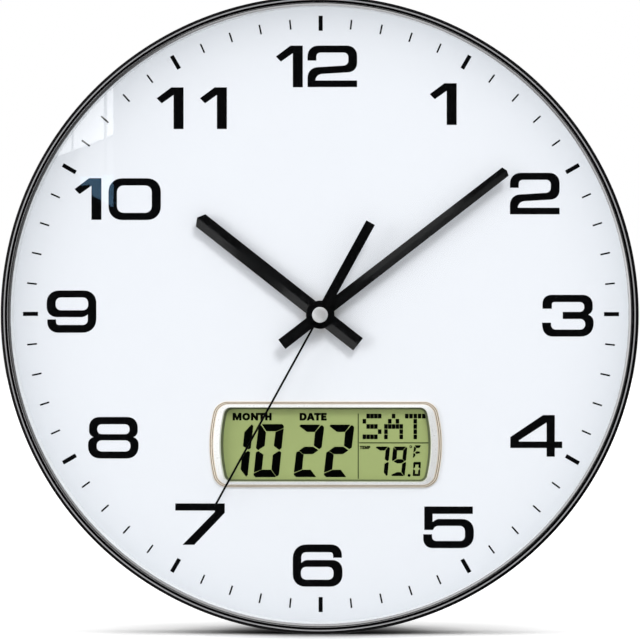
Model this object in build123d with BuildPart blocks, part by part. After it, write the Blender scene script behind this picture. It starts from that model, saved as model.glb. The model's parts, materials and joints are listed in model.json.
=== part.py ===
from build123d import *
import os
from math import atan2, cos, pi, radians, sin

# A round wall clock with three hands on a quartz movement and a calendar display of its own under them.
# Sizes are in millimetres. The wall is at y = 0 and the dial faces -Y, with the hands' axis through the
# origin, so a depth is a distance in front of the wall and a place is (across, up) as the viewer sees it.
# A bearing is an angle clockwise from twelve o'clock, in degrees.

# Clearances that every fit shares
fit_clearance = 0.2
running_clearance = 0.06
press_clearance = 0.02
end_play = 0.1
cut_overrun = 1.0

# Case: outer size, then the stack of layers from the wall to the front
clock_diameter = 300.0
foot_height = 1.8
cover_wall = 2.2
movement_depth = 16.0
carrier_thickness = 2.0
dial_thickness = 0.8
glass_gap = 14.0
glass_thickness = 2.8
gasket_thickness = 0.8
lip_thickness = 1.6

# Bezel: wall, lip, beads and the snap hook behind the carrier
bezel_wall = 2.8
bezel_skirt = 2.0
bezel_taper = 0.8
bezel_taper_depth = 6.0
lip_overhang = 1.85
outer_bead_width = 2.7
outer_bead_inset = 1.5
outer_bead_drop = 1.5
valley_drop = 1.0
inner_bead_rise = 0.6
hook_overhang = 1.2
hook_lead = 0.6
gasket_width = 1.3
spacer_wall = 1.4
spacer_draft = 0.3

# Back cover: foot ring, skirt and openings
foot_width = 8.0
foot_inset = 2.0
cover_inset = 8.0
skirt_inset = 4.8
skirt_wall = 2.0
well_clearance = 0.5
collar_wall = 1.6
collar_height = 4.0
screw_count = 6
screw_inset = 22.0
screw_start_bearing = 30.0
screw_radius = 1.4
screw_length = 12.0
screw_head_radius = 2.75
screw_head_height = 1.6
screw_sink = 1.0
boss_radius = 3.6
rib_width = 1.6
rib_height = 4.0
rib_start = 44.0
rib_bearings = (30.0, 90.0, 270.0, 330.0)

# Keyhole for the wall screw, with a cup behind it
keyhole_rise_share = 0.6333
keyhole_entry_radius = 4.5
keyhole_slot_radius = 2.2
keyhole_travel = 9.0
cup_wall = 1.6
cup_depth = 7.0

# Vents beside the temperature sensor
vent_count = 5
vent_pitch = 4.0
vent_width = 1.8
vent_length = 12.0

# Movement case, with the threaded bushing that clamps it
movement_corner = 4.0
movement_wall = 1.4
movement_split = 6.0
bay_height = 17.4
bushing_radius = 4.0
bushing_proud = 0.5
washer_radius = 6.4
washer_thickness = 0.5
nut_width = 11.0
nut_height = 2.2
pivot_boss_wall = 0.8
pivot_boss_height = 1.2
pivot_sink = 0.4
locator_wall = 1.6
locator_height = 3.0

# Hands' seats and coaxial tubes
hand_lift = 0.4
hand_pitch = 2.2
hub_radius = 6.7
hub_thickness = 1.0
tube_clearance = 0.08
hour_tube_wall = 0.85
minute_tube_radius = 1.6
seat_step = 0.2
seat_length = 1.2
second_arbor_radius = 0.5

# Hands: bearings at rest, lengths, widths, points at the tips and heights of edge and ridge
hour_bearing = 308.2
hour_length = 74.2
hour_tail = 22.7
hour_width = 7.4
hour_point = 2.2
minute_bearing = 52.3
minute_length = 111.4
minute_tail = 22.9
minute_tip_width = 5.0
minute_tail_width = 5.6
minute_point = 1.0
hand_edge = 0.5
hand_ridge = 1.3
second_bearing = 208.8
second_length = 103.0
second_tail = 49.6
second_needle_width = 1.0
second_tail_width = 4.1
second_thickness = 0.5
second_pipe_radius = 1.3
second_pipe_skirt = 0.5
second_pipe_nose = 1.2
cap_radius = 3.7
cap_round = 0.75
cap_height = 2.4

# Gear train: teeth, centre distances and bearings; the setting pinion copies the cannon pinion
rotor_pinion_teeth = 8
intermediate_wheel_teeth = 48
intermediate_pinion_teeth = 8
seconds_wheel_teeth = 40
seconds_pinion_teeth = 8
third_wheel_teeth = 60
third_pinion_teeth = 8
centre_wheel_teeth = 64
cannon_teeth = 12
motion_wheel_teeth = 36
motion_pinion_teeth = 10
hour_wheel_teeth = 40
rotor_distance = 9.5
intermediate_distance = 11.0
third_distance = 10.5
motion_distance = 9.0
rotor_bearing = -30.0
intermediate_bearing = -80.0
third_bearing = 45.0
motion_bearing = 100.0
setting_bearing = 98.0
tooth_share = 0.38
addendum_share = 0.8
dedendum_share = 1.0
flank_share = 0.36
wheel_thickness = 0.9
pinion_length = 1.8
arbor_radius = 0.5
motion_post_radius = 0.7

# Layers of the train, from the rear plate's inner face to the middle of each wheel
seconds_layer = 2.3
third_layer = 4.7
centre_layer = 7.2
motion_layer = 9.6
hour_layer = 11.8

# Rotor magnet, stator, coil, board and crystal
magnet_radius = 2.8
magnet_length = 2.4
magnet_layer = 8.0
air_gap = 0.5
stator_rim = 2.4
stator_thickness = 1.0
stator_leg_width = 5.0
stator_bar_width = 4.0
stator_bar_rise = 13.0
stator_span = 30.0
stator_post_radius = 1.5
coil_rise = 21.5
coil_length = 22.0
coil_radius = 3.3
coil_flange = 0.8
coil_flange_size = 7.6
core_width = 3.0
core_thickness = 1.4
board_width = 20.0
board_height = 14.0
board_thickness = 1.0
board_place = (14.5, 19.0)
board_lift = 0.8
board_post_radius = 1.5
quartz_radius = 1.5
quartz_length = 8.0
quartz_drop = 3.0
quartz_shift = 4.5

# Setting knob on the rear of the movement
setting_shaft_radius = 1.2
knob_radius = 5.5
knob_height = 2.6
knob_gap = 0.3
knob_notches = 16
knob_notch_radius = 0.6

# Cells and their contact plates
aa_radius = 7.25
aa_length = 49.5
aa_nub_radius = 2.75
aaa_radius = 5.25
aaa_length = 43.5
aaa_nub_radius = 1.9
nub_length = 1.0
contact_thickness = 0.4
contact_width_share = 0.7
contact_stud_share = 0.45
cell_play = 0.3
aa_contact_reach = 1.35

# Display: place, frame and window
display_shift = 2.4
display_gap_share = 0.1766
frame_opening_width = 99.2
frame_opening_height = 34.8
frame_side_border = 5.4
frame_top_border = 2.9
frame_bulge = 3.3
frame_corner = 5.0
opening_bulge = 2.4
opening_corner = 2.5
frame_depth = 2.5
frame_outer_chamfer = 1.0
frame_inner_chamfer = 1.4
frame_rim_wall = 0.9

# Display module behind the dial
lcd_side_margin = 3.1
lcd_top_margin = 2.75
lcd_step = 2.0
lcd_pane = 1.1
reflector_thickness = 0.3
housing_side_wall = 4.5
housing_top_wall = 6.0
housing_depth = 4.4
housing_ledge_across = 3.0
housing_ledge_up = 1.5
housing_corner = 3.0
ear_radius = 3.5
ear_thickness = 2.0
ear_reach = 3.0
ear_inset = 6.0
zebra_inset = 7.5
zebra_thickness = 1.8
zebra_edge = 1.0
lcd_board_inset = 1.0
lcd_board_thickness = 1.6
small_screw_radius = 0.9
small_screw_head_radius = 1.9
small_screw_head_height = 1.3
small_screw_bite = 2.8
board_screw_inset_across = 3.0
board_screw_inset_up = 3.0
driver_radius = 6.0
driver_height = 1.6
driver_drop = 13.0
sensor_inset = 18.0
sensor_bead_radius = 1.8
sensor_bead_thickness = 1.6
sensor_lead = 0.6
sensor_lead_length = 7.0
sensor_lead_gap = 1.6

# Set buttons and the switches that they press
button_count = 4
button_pitch = 16.0
button_travel = 0.6
button_radius = 3.4
button_clearance = 0.3
button_proud = 0.8
button_flange_width = 1.2
button_flange_thickness = 1.0
button_stem_radius = 1.5
button_guide_wall = 1.4
button_guide_height = 4.0
switch_width = 6.0
switch_height = 3.5
plunger_radius = 1.7
plunger_height = 1.0

# Display cells' pocket and its door
pocket_gap_share = 0.1188
pocket_wall = 2.0
pocket_floor = 1.4
door_thickness = 1.8
door_ledge = 1.2
tab_width = 6.0
tab_spread = 30.0
tab_lug = 1.3
tab_thickness = 1.0
tab_rear_gap = 0.2
tab_reach = 0.8
tab_slot_clearance = 0.6
finger_notch_width = 12.0
finger_notch_height = 3.0

# Depths of the stack, from the wall out
plate_back = foot_height
plate_front = plate_back + cover_wall
carrier_back = plate_front + movement_depth
carrier_front = carrier_back + carrier_thickness
dial_front = carrier_front + dial_thickness
glass_back = dial_front + glass_gap
glass_front = glass_back + glass_thickness
lip_back = glass_front + gasket_thickness
clock_front = lip_back + lip_thickness

# Radii that the case pieces share
clock_radius = clock_diameter / 2
bezel_bore = clock_radius - bezel_wall
lip_radius = bezel_bore - lip_overhang
stack_radius = bezel_bore - fit_clearance
cover_rear_radius = clock_radius - cover_inset
cover_front_radius = clock_radius - skirt_inset
foot_outer_radius = cover_rear_radius - foot_inset
screw_circle = clock_radius - screw_inset

# Display sizes, each from the window outwards
frame_width = frame_opening_width + 2 * frame_side_border
frame_height = frame_opening_height + 2 * frame_top_border
lcd_width = frame_opening_width + 2 * lcd_side_margin
lcd_height = frame_opening_height + 2 * lcd_top_margin
lcd_back_height = lcd_height - 2 * lcd_step
housing_width = lcd_width + 2 * housing_side_wall
housing_height = lcd_height + 2 * housing_top_wall
housing_opening_width = lcd_width - 2 * housing_ledge_across
housing_opening_height = lcd_back_height - 2 * housing_ledge_up
ear_rise = housing_height / 2 - ear_inset
zebra_length = lcd_width - 2 * zebra_inset
zebra_rise = lcd_height / 2 - zebra_edge
lcd_board_width = housing_width - 2 * lcd_board_inset
lcd_board_height = housing_height - 2 * lcd_board_inset
sensor_shift = lcd_board_width / 2 - sensor_inset

# Movement and cell pocket around their cells, then the places that share out the room under the hands
movement_width = aa_length + nub_length + 2 * (movement_wall + aa_contact_reach)
pocket_width = aaa_length + nub_length + 2 * (contact_thickness + cell_play)
pocket_height = 4 * aaa_radius + 3 * cell_play
movement_reach = movement_width / 2 + fit_clearance + locator_wall
cover_reach = cover_rear_radius - skirt_wall
spare_room = cover_reach - movement_reach - housing_height - pocket_height - 2 * pocket_wall
display_top = -movement_reach - display_gap_share * spare_room
display_place = (display_shift, display_top - housing_height / 2)
pocket_top = display_top - housing_height - pocket_gap_share * spare_room - pocket_wall
pocket_rise = pocket_top - pocket_height / 2
pocket_place = (0, pocket_rise)
keyhole_rise = keyhole_rise_share * clock_radius

section_plane = Plane(origin=(0, 0, 0), x_dir=(1, 0, 0), z_dir=(0, 0, -1))


# Helpers that add to, or cut from, the part that is open
def level(depth):
    """The plane that faces the viewer at this depth."""
    return Plane.XZ.offset(depth)


def at_bearing(start, distance, bearing):
    """The place this far from start, along a bearing."""
    turn = radians(bearing)
    return (start[0] + distance * sin(turn), start[1] + distance * cos(turn))


def shifted(start, across, up):
    """The place this far across and up from start."""
    return (start[0] + across, start[1] + up)


def round_bar(place, radius, low, high, mode=Mode.ADD):
    """A round bar between two depths."""
    with BuildSketch(level(low)) as section:
        with Locations(place):
            Circle(radius)
    extrude(section.sketch, amount=high - low, mode=mode)


def block(place, width, height, low, high, corner=0, mode=Mode.ADD):
    """A block between two depths, with rounded corners where a radius is given."""
    with BuildSketch(level(low)) as section:
        with Locations(place):
            Rectangle(width, height)
        if corner:
            fillet(section.vertices(), corner)
    extrude(section.sketch, amount=high - low, mode=mode)


def turned(points, mode=Mode.ADD):
    """A solid turned about the hands' axis from (radius, depth) points."""
    with BuildSketch(section_plane) as section:
        with BuildLine():
            Polyline(*points, close=True)
        make_face()
    revolve(section.sketch, axis=Axis.Y, mode=mode)


def cell(place, radius, length, nub_radius, side, depth):
    """A round cell lying across the clock, with its positive nub towards side."""
    start = -side * (length + nub_length) / 2
    with BuildSketch(Plane.YZ.offset(start)) as body:
        with Locations((-depth, place[1])):
            Circle(radius)
    extrude(body.sketch, amount=side * length)
    with BuildSketch(Plane.YZ.offset(start + side * length)) as nub:
        with Locations((-depth, place[1])):
            Circle(nub_radius)
    extrude(nub.sketch, amount=side * nub_length)


def contact(place, radius, half_length, side, reach, depth):
    """A contact plate at one end of a cell, with a stud that meets the cell."""
    wall = side * (half_length + reach)
    with BuildSketch(Plane.YZ.offset(wall)) as plate:
        with Locations((-depth, place[1])):
            Rectangle(2 * radius * contact_width_share, 2 * radius * contact_width_share)
    extrude(plate.sketch, amount=-side * contact_thickness)
    with BuildSketch(Plane.YZ.offset(wall)) as stud:
        with Locations((-depth, place[1])):
            Circle(radius * contact_stud_share)
    extrude(stud.sketch, amount=-side * reach)


# Case pieces
with BuildPart() as bezel_ring:
    shoulder = (clock_radius, clock_front - outer_bead_drop)
    crest = (clock_radius - outer_bead_inset, clock_front)
    valley = (clock_radius - outer_bead_width, clock_front - valley_drop)
    inner_crest = ((valley[0] + lip_radius) / 2, valley[1] + inner_bead_rise)
    lip_edge = (lip_radius, valley[1])
    hook_tip = bezel_bore - hook_overhang
    bezel_back = carrier_back - bezel_skirt
    with BuildSketch(section_plane):
        with BuildLine():
            ThreePointArc(shoulder, crest, valley)
            ThreePointArc(valley, inner_crest, lip_edge)
            Polyline(
                lip_edge,
                (lip_radius, lip_back),
                (bezel_bore, lip_back),
                (bezel_bore, carrier_back),
                (hook_tip, carrier_back),
                (hook_tip + hook_lead, bezel_back),
                (clock_radius - bezel_taper, bezel_back),
                (clock_radius, bezel_back + bezel_taper_depth),
                shoulder,
            )
        make_face()
    revolve(axis=Axis.Y)

with BuildPart() as crystal:
    round_bar((0, 0), stack_radius, glass_back, glass_front)

with BuildPart() as glass_gasket:
    round_bar((0, 0), stack_radius, glass_front, lip_back)
    round_bar((0, 0), stack_radius - gasket_width, glass_front, lip_back, Mode.SUBTRACT)

with BuildPart() as spacer_ring:
    turned([
        (stack_radius, dial_front),
        (stack_radius, glass_back),
        (stack_radius - spacer_wall, glass_back),
        (stack_radius - spacer_wall - spacer_draft, dial_front),
    ])

window_width = frame_opening_width + 2 * (frame_rim_wall + fit_clearance)
window_height = frame_opening_height + 2 * (frame_rim_wall + fit_clearance)
bushing_hole = bushing_radius + fit_clearance
with BuildPart() as dial:
    round_bar((0, 0), stack_radius, carrier_front, dial_front)
    round_bar((0, 0), bushing_hole, carrier_front, dial_front, Mode.SUBTRACT)
    block(display_place, window_width, window_height, carrier_front, dial_front, opening_corner, Mode.SUBTRACT)

# Places of the display module's fixings, which the carrier and the module share
screw_places = [
    at_bearing((0, 0), screw_circle, screw_start_bearing + 360 * step / screw_count)
    for step in range(screw_count)
]
ear_places = [
    shifted(display_place, side * (housing_width / 2 + ear_reach), end * ear_rise)
    for side in (-1, 1)
    for end in (-1, 1)
]
ear_front = carrier_back - housing_depth + ear_thickness
board_screw_places = [
    shifted(
        display_place,
        side * (lcd_board_width / 2 - board_screw_inset_across),
        end * (lcd_board_height / 2 - board_screw_inset_up),
    )
    for side in (-1, 1)
    for end in (-1, 1)
]
thread_hole = screw_radius + press_clearance
small_thread_hole = small_screw_radius + press_clearance

with BuildPart() as dial_carrier:
    round_bar((0, 0), stack_radius, carrier_back, carrier_front)
    locator_inside = movement_width + 2 * fit_clearance
    locator_outside = locator_inside + 2 * locator_wall
    locator_back = carrier_back - locator_height
    block((0, 0), locator_outside, locator_outside, locator_back, carrier_back, movement_corner + locator_wall)
    block((0, 0), locator_inside, locator_inside, locator_back, carrier_back, movement_corner, Mode.SUBTRACT)
    for bearing in rib_bearings:
        with BuildSketch(level(carrier_back - rib_height)) as rib:
            with Locations(Location(at_bearing((0, 0), rib_start, bearing), -bearing)):
                Rectangle(rib_width, screw_circle - rib_start, align=(Align.CENTER, Align.MIN))
        extrude(rib.sketch, amount=rib_height)
    for place in screw_places:
        round_bar(place, boss_radius, plate_front, carrier_back)
        thread_front = plate_back + screw_sink + screw_length + end_play
        round_bar(place, thread_hole, plate_front, thread_front, Mode.SUBTRACT)
    for place in ear_places:
        round_bar(place, ear_radius, ear_front, carrier_back)
        round_bar(place, small_thread_hole, ear_front, ear_front + small_screw_bite, Mode.SUBTRACT)
    round_bar((0, 0), bushing_hole, carrier_back, carrier_front, Mode.SUBTRACT)
    block(
        display_place,
        lcd_width + 2 * fit_clearance,
        lcd_height + 2 * fit_clearance,
        carrier_back,
        carrier_front,
        mode=Mode.SUBTRACT,
    )

# Pocket for the display cells: depths, then the mouth that the door closes
cells_depth = plate_back + door_thickness + cell_play + aaa_radius
pocket_back = cells_depth + aaa_radius + press_clearance
mouth_width = pocket_width + 2 * door_ledge
mouth_height = pocket_height + 2 * door_ledge
mouth_front = plate_back + door_thickness
tab_back = plate_front + tab_rear_gap
tab_front = tab_back + tab_thickness
tab_top = pocket_top + pocket_wall + tab_reach

# Places of the buttons and of the vents
button_places = [
    shifted(display_place, (step - (button_count - 1) / 2) * button_pitch, 0)
    for step in range(button_count)
]
sensor_place = shifted(display_place, sensor_shift, -lcd_board_height / 2 - sensor_lead_length / 2)
button_hole = button_radius + button_clearance
flange_radius = button_hole + button_flange_width
guide_radius = flange_radius + button_clearance

with BuildPart() as back_cover:
    turned([
        (0, plate_back),
        (foot_outer_radius - foot_width, plate_back),
        (foot_outer_radius - foot_width, 0),
        (foot_outer_radius, 0),
        (foot_outer_radius, plate_back),
        (cover_rear_radius, plate_back),
        (cover_front_radius, carrier_back),
        (cover_front_radius - skirt_wall, carrier_back),
        (cover_rear_radius - skirt_wall, plate_front),
        (0, plate_front),
    ])
    well = movement_width + 2 * well_clearance
    collar = well + 2 * collar_wall
    cup_middle = (0, keyhole_rise + keyhole_travel / 2)
    cup_inside = 2 * keyhole_entry_radius + 2 * fit_clearance
    cup_outside = cup_inside + 2 * cup_wall
    block((0, 0), collar, collar, plate_front, plate_front + collar_height, movement_corner + collar_wall)
    block(
        cup_middle,
        cup_outside,
        cup_outside + keyhole_travel,
        plate_front,
        plate_front + cup_depth + cup_wall,
        movement_corner,
    )
    block(
        pocket_place,
        pocket_width + 2 * pocket_wall,
        pocket_height + 2 * pocket_wall,
        plate_front,
        pocket_back + pocket_floor,
        pocket_wall,
    )
    for place in button_places:
        round_bar(place, guide_radius + button_guide_wall, plate_front, plate_front + button_guide_height)
        round_bar(place, guide_radius, plate_front, plate_front + button_guide_height, Mode.SUBTRACT)
        round_bar(place, button_hole, plate_back, plate_front, Mode.SUBTRACT)
    block((0, 0), well, well, plate_back, plate_front + collar_height, movement_corner, Mode.SUBTRACT)
    block(
        cup_middle,
        cup_inside,
        cup_inside + keyhole_travel,
        plate_front,
        plate_front + cup_depth,
        mode=Mode.SUBTRACT,
    )
    round_bar((0, keyhole_rise), keyhole_entry_radius, plate_back, plate_front, Mode.SUBTRACT)
    round_bar((0, keyhole_rise + keyhole_travel), keyhole_slot_radius, plate_back, plate_front, Mode.SUBTRACT)
    block(cup_middle, 2 * keyhole_slot_radius, keyhole_travel, plate_back, plate_front, mode=Mode.SUBTRACT)
    block(pocket_place, pocket_width, pocket_height, plate_back, pocket_back, mode=Mode.SUBTRACT)
    block(pocket_place, mouth_width, mouth_height, plate_back, mouth_front, mode=Mode.SUBTRACT)
    notch_middle = (0, pocket_rise - mouth_height / 2)
    block(
        notch_middle,
        finger_notch_width,
        2 * finger_notch_height,
        plate_back,
        plate_back + door_thickness / 2,
        finger_notch_height / 2,
        Mode.SUBTRACT,
    )
    for side in (-1, 1):
        block(
            (side * tab_spread / 2, pocket_top + pocket_wall / 2),
            tab_width + 2 * tab_slot_clearance,
            pocket_wall + cut_overrun,
            plate_front,
            tab_front + tab_slot_clearance,
            mode=Mode.SUBTRACT,
        )
        block(
            (side * tab_spread / 2, pocket_top + door_ledge / 2),
            tab_width + 2 * tab_slot_clearance,
            door_ledge,
            mouth_front,
            plate_front,
            mode=Mode.SUBTRACT,
        )
    for step in range(vent_count):
        vent_shift = (step - (vent_count - 1) / 2) * vent_pitch
        block(
            shifted(sensor_place, vent_shift, 0),
            vent_width,
            vent_length,
            plate_back,
            plate_front,
            vent_width / 2 - press_clearance,
            Mode.SUBTRACT,
        )
    for place in screw_places:
        round_bar(place, screw_radius + fit_clearance, plate_back, plate_front, Mode.SUBTRACT)
        round_bar(
            place,
            screw_head_radius + fit_clearance,
            plate_back,
            plate_back + screw_sink,
            Mode.SUBTRACT,
        )

with BuildPart() as case_screws:
    for place in screw_places:
        seat = plate_back + screw_sink
        round_bar(place, screw_head_radius, seat - screw_head_height, seat)
        round_bar(place, screw_radius, seat, seat + screw_length)

# Movement: depths, places of the arbors and gear sizes that meshing wheels share
movement_back = plate_front
rear_plate_front = movement_back + movement_wall
front_plate_back = carrier_back - movement_wall
case_split = movement_back + movement_split
centre_place = (0, 0)
third_place = at_bearing(centre_place, third_distance, third_bearing)
intermediate_place = at_bearing(centre_place, intermediate_distance, intermediate_bearing)
rotor_place = at_bearing(intermediate_place, rotor_distance, rotor_bearing)
motion_place = at_bearing(centre_place, motion_distance, motion_bearing)
rotor_module = 2 * rotor_distance / (rotor_pinion_teeth + intermediate_wheel_teeth)
intermediate_module = 2 * intermediate_distance / (intermediate_pinion_teeth + seconds_wheel_teeth)
seconds_module = 2 * third_distance / (seconds_pinion_teeth + third_wheel_teeth)
third_module = 2 * third_distance / (third_pinion_teeth + centre_wheel_teeth)
cannon_module = 2 * motion_distance / (cannon_teeth + motion_wheel_teeth)
motion_module = 2 * motion_distance / (motion_pinion_teeth + hour_wheel_teeth)
setting_place = at_bearing(motion_place, motion_distance, setting_bearing)

bushing_front = dial_front + washer_thickness + nut_height + bushing_proud
minute_bore = second_arbor_radius + tube_clearance
hour_bore = minute_tube_radius + tube_clearance
hour_tube_radius = hour_bore + hour_tube_wall
bushing_bore = hour_tube_radius + tube_clearance
pivot_hole = arbor_radius + running_clearance
setting_hole = setting_shaft_radius + running_clearance
rear_pivot = rear_plate_front - pivot_sink
front_pivot = front_plate_back + pivot_sink
arbor_back = rear_pivot + end_play
arbor_front = front_pivot - end_play


def layer(rise):
    """The depth of a wheel's middle."""
    return rear_plate_front + rise


def mesh_phase(place, teeth, phase, other_place, other_teeth):
    """The phase that puts the other wheel's gap on this wheel's tooth."""
    way = atan2(other_place[1] - place[1], other_place[0] - place[0])
    return way + pi - pi / other_teeth + (way - phase) * teeth / other_teeth


def gear(place, teeth, module, phase, middle, thickness):
    """A toothed wheel around a place, with the middle of one tooth at angle phase."""
    pitch_radius = teeth * module / 2
    tip_radius = pitch_radius + addendum_share * module
    root_radius = pitch_radius - dedendum_share * module
    half_tooth = tooth_share * pi * module / 2
    tip_lag = (half_tooth - addendum_share * module * flank_share) / tip_radius
    root_lag = (half_tooth + dedendum_share * module * flank_share) / root_radius
    corners = (
        (root_radius, -root_lag),
        (tip_radius, -tip_lag),
        (tip_radius, tip_lag),
        (root_radius, root_lag),
    )
    points = []
    for tooth in range(teeth):
        turn = phase + 2 * pi * tooth / teeth
        for radius, lag in corners:
            points.append(shifted(place, radius * cos(turn + lag), radius * sin(turn + lag)))
    with BuildSketch(level(middle - thickness / 2)) as outline:
        with BuildLine():
            Polyline(*points, close=True)
        make_face()
    extrude(outline.sketch, amount=thickness)


def pivot(place, hole, plate, end, sink):
    """A boss on a plate's inner face, with a blind hole for an arbor's end."""
    round_bar(place, hole + pivot_boss_wall, plate, end)
    round_bar(place, hole, sink, end, Mode.SUBTRACT)


intermediate_phase = mesh_phase(
    rotor_place, rotor_pinion_teeth, 0, intermediate_place, intermediate_wheel_teeth
)
seconds_phase = mesh_phase(
    intermediate_place, intermediate_pinion_teeth, 0, centre_place, seconds_wheel_teeth
)
third_phase = mesh_phase(centre_place, seconds_pinion_teeth, 0, third_place, third_wheel_teeth)
centre_phase = mesh_phase(third_place, third_pinion_teeth, 0, centre_place, centre_wheel_teeth)
motion_phase = mesh_phase(centre_place, cannon_teeth, 0, motion_place, motion_wheel_teeth)
hour_phase = mesh_phase(motion_place, motion_pinion_teeth, 0, centre_place, hour_wheel_teeth)
setting_phase = mesh_phase(motion_place, motion_wheel_teeth, motion_phase, setting_place, cannon_teeth)

# Cell bay in the lower part of the movement, and the train's room above it
bay_top = bay_height - movement_width / 2
train_height = movement_width - bay_height
train_place = (0, movement_width / 2 - train_height / 2)
inside = movement_width - 2 * movement_wall
room_height = train_height - movement_wall
room_place = shifted(train_place, 0, -movement_wall / 2)
bay_inside_height = bay_height - 2 * movement_wall
bay_place = (0, bay_top - bay_height / 2)
aa_depth = front_plate_back - press_clearance - aa_radius
stator_middle = layer(magnet_layer)
stator_front = stator_middle + stator_thickness / 2
stator_back = stator_middle - stator_thickness / 2
stator_legs = [
    (rotor_place[0], coil_rise),
    (rotor_place[0] + stator_span, coil_rise),
]

with BuildPart() as movement_front_case:
    block((0, 0), movement_width, movement_width, movement_back, carrier_back, movement_corner)
    block(train_place, movement_width, train_height, movement_back, case_split, mode=Mode.SUBTRACT)
    block(room_place, inside, room_height, case_split, front_plate_back, mode=Mode.SUBTRACT)
    block(bay_place, inside, bay_inside_height, movement_back, front_plate_back, mode=Mode.SUBTRACT)
    boss_end = front_plate_back - pivot_boss_height
    for place in (third_place, intermediate_place, rotor_place):
        pivot(place, pivot_hole, front_plate_back, boss_end, front_pivot)
    pivot(setting_place, setting_hole, front_plate_back, boss_end, front_pivot)
    motion_end = layer(centre_layer) + wheel_thickness
    round_bar(motion_place, motion_post_radius, motion_end, front_plate_back)
    for place in stator_legs:
        round_bar(place, stator_post_radius, stator_front, front_plate_back)
    round_bar((0, 0), bushing_radius, carrier_back, bushing_front)
    round_bar((0, 0), bushing_bore, front_plate_back, bushing_front, Mode.SUBTRACT)

with BuildPart() as movement_back_case:
    block((0, 0), movement_width, movement_width, movement_back, case_split, movement_corner)
    block(bay_place, movement_width, bay_height, movement_back, case_split, mode=Mode.SUBTRACT)
    block(room_place, inside, room_height, rear_plate_front, case_split, mode=Mode.SUBTRACT)
    boss_end = rear_plate_front + pivot_boss_height
    for place in (third_place, intermediate_place, rotor_place, centre_place):
        pivot(place, pivot_hole, rear_plate_front, boss_end, rear_pivot)
    round_bar(setting_place, setting_hole + pivot_boss_wall, rear_plate_front, boss_end)
    round_bar(setting_place, setting_hole, movement_back, boss_end, Mode.SUBTRACT)
    for side in (-1, 1):
        place = shifted(board_place, side * (board_width / 2 - board_post_radius), 0)
        round_bar(place, board_post_radius, rear_plate_front, rear_plate_front + board_lift)

with BuildPart() as fixing_washer:
    round_bar((0, 0), washer_radius, dial_front, dial_front + washer_thickness)
    round_bar((0, 0), bushing_hole, dial_front, dial_front + washer_thickness, Mode.SUBTRACT)

with BuildPart() as fixing_nut:
    nut_back = dial_front + washer_thickness
    with BuildSketch(level(nut_back)):
        RegularPolygon(nut_width / 2, 6, major_radius=False)
        Circle(bushing_radius + press_clearance, mode=Mode.SUBTRACT)
    extrude(amount=nut_height)

with BuildPart() as rotor:
    round_bar(rotor_place, arbor_radius, arbor_back, arbor_front)
    gear(rotor_place, rotor_pinion_teeth, rotor_module, 0, layer(third_layer), pinion_length)
    magnet_back = stator_middle - magnet_length / 2
    round_bar(rotor_place, magnet_radius, magnet_back, magnet_back + magnet_length)

with BuildPart() as stator:
    stator_hole = magnet_radius + air_gap
    round_bar(rotor_place, stator_hole + stator_rim, stator_back, stator_front)
    bar_middle = (rotor_place[0] + stator_span / 2, stator_bar_rise)
    block(bar_middle, stator_span + stator_leg_width, stator_bar_width, stator_back, stator_front)
    leg_top = coil_rise + stator_leg_width / 2
    for place in stator_legs:
        leg_middle = (place[0], (stator_bar_rise + leg_top) / 2)
        block(leg_middle, stator_leg_width, leg_top - stator_bar_rise, stator_back, stator_front)
    round_bar(rotor_place, stator_hole, stator_back, stator_front, Mode.SUBTRACT)

coil_place = (rotor_place[0] + stator_span / 2, coil_rise)
core_middle = stator_back - core_thickness / 2
with BuildPart() as coil_core:
    block(
        coil_place,
        stator_span + stator_leg_width,
        core_width,
        core_middle - core_thickness / 2,
        stator_back,
    )

with BuildPart() as coil:
    coil_start = coil_place[0] - coil_length / 2
    with BuildSketch(Plane.YZ.offset(coil_start)):
        with Locations((-core_middle, coil_rise)):
            Circle(coil_radius)
    extrude(amount=coil_length)
    for start in (coil_start, coil_start + coil_length - coil_flange):
        with BuildSketch(Plane.YZ.offset(start)):
            with Locations((-core_middle, coil_rise)):
                Rectangle(coil_flange_size, coil_flange_size)
        extrude(amount=coil_flange)
    with BuildSketch(Plane.YZ.offset(coil_start)):
        with Locations((-core_middle, coil_rise)):
            Rectangle(core_thickness + fit_clearance, core_width + fit_clearance)
    extrude(amount=coil_length, mode=Mode.SUBTRACT)

board_back = rear_plate_front + board_lift
board_front = board_back + board_thickness
with BuildPart() as movement_board:
    block(board_place, board_width, board_height, board_back, board_front)

with BuildPart() as quartz_can:
    quartz_place = shifted(board_place, quartz_shift, -quartz_drop)
    quartz_start = quartz_place[0] - quartz_length / 2
    with BuildSketch(Plane.YZ.offset(quartz_start)):
        with Locations((-board_front - quartz_radius - press_clearance, quartz_place[1])):
            Circle(quartz_radius)
    extrude(amount=quartz_length)

with BuildPart() as intermediate_wheel:
    round_bar(intermediate_place, arbor_radius, arbor_back, arbor_front)
    gear(
        intermediate_place,
        intermediate_wheel_teeth,
        rotor_module,
        intermediate_phase,
        layer(third_layer),
        wheel_thickness,
    )
    gear(
        intermediate_place,
        intermediate_pinion_teeth,
        intermediate_module,
        0,
        layer(seconds_layer),
        pinion_length,
    )
    round_bar(intermediate_place, arbor_radius + pivot_boss_wall, layer(seconds_layer), layer(third_layer))

second_seat = bushing_front + hand_lift + 2 * hand_pitch
second_blade = second_seat + second_pipe_skirt
second_nose = second_blade + second_thickness + second_pipe_nose
second_arbor_front = second_nose - second_thickness
with BuildPart() as seconds_wheel:
    round_bar(centre_place, second_arbor_radius, arbor_back, second_arbor_front)
    gear(
        centre_place,
        seconds_wheel_teeth,
        intermediate_module,
        seconds_phase,
        layer(seconds_layer),
        wheel_thickness,
    )
    gear(centre_place, seconds_pinion_teeth, seconds_module, 0, layer(third_layer), pinion_length)

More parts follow.
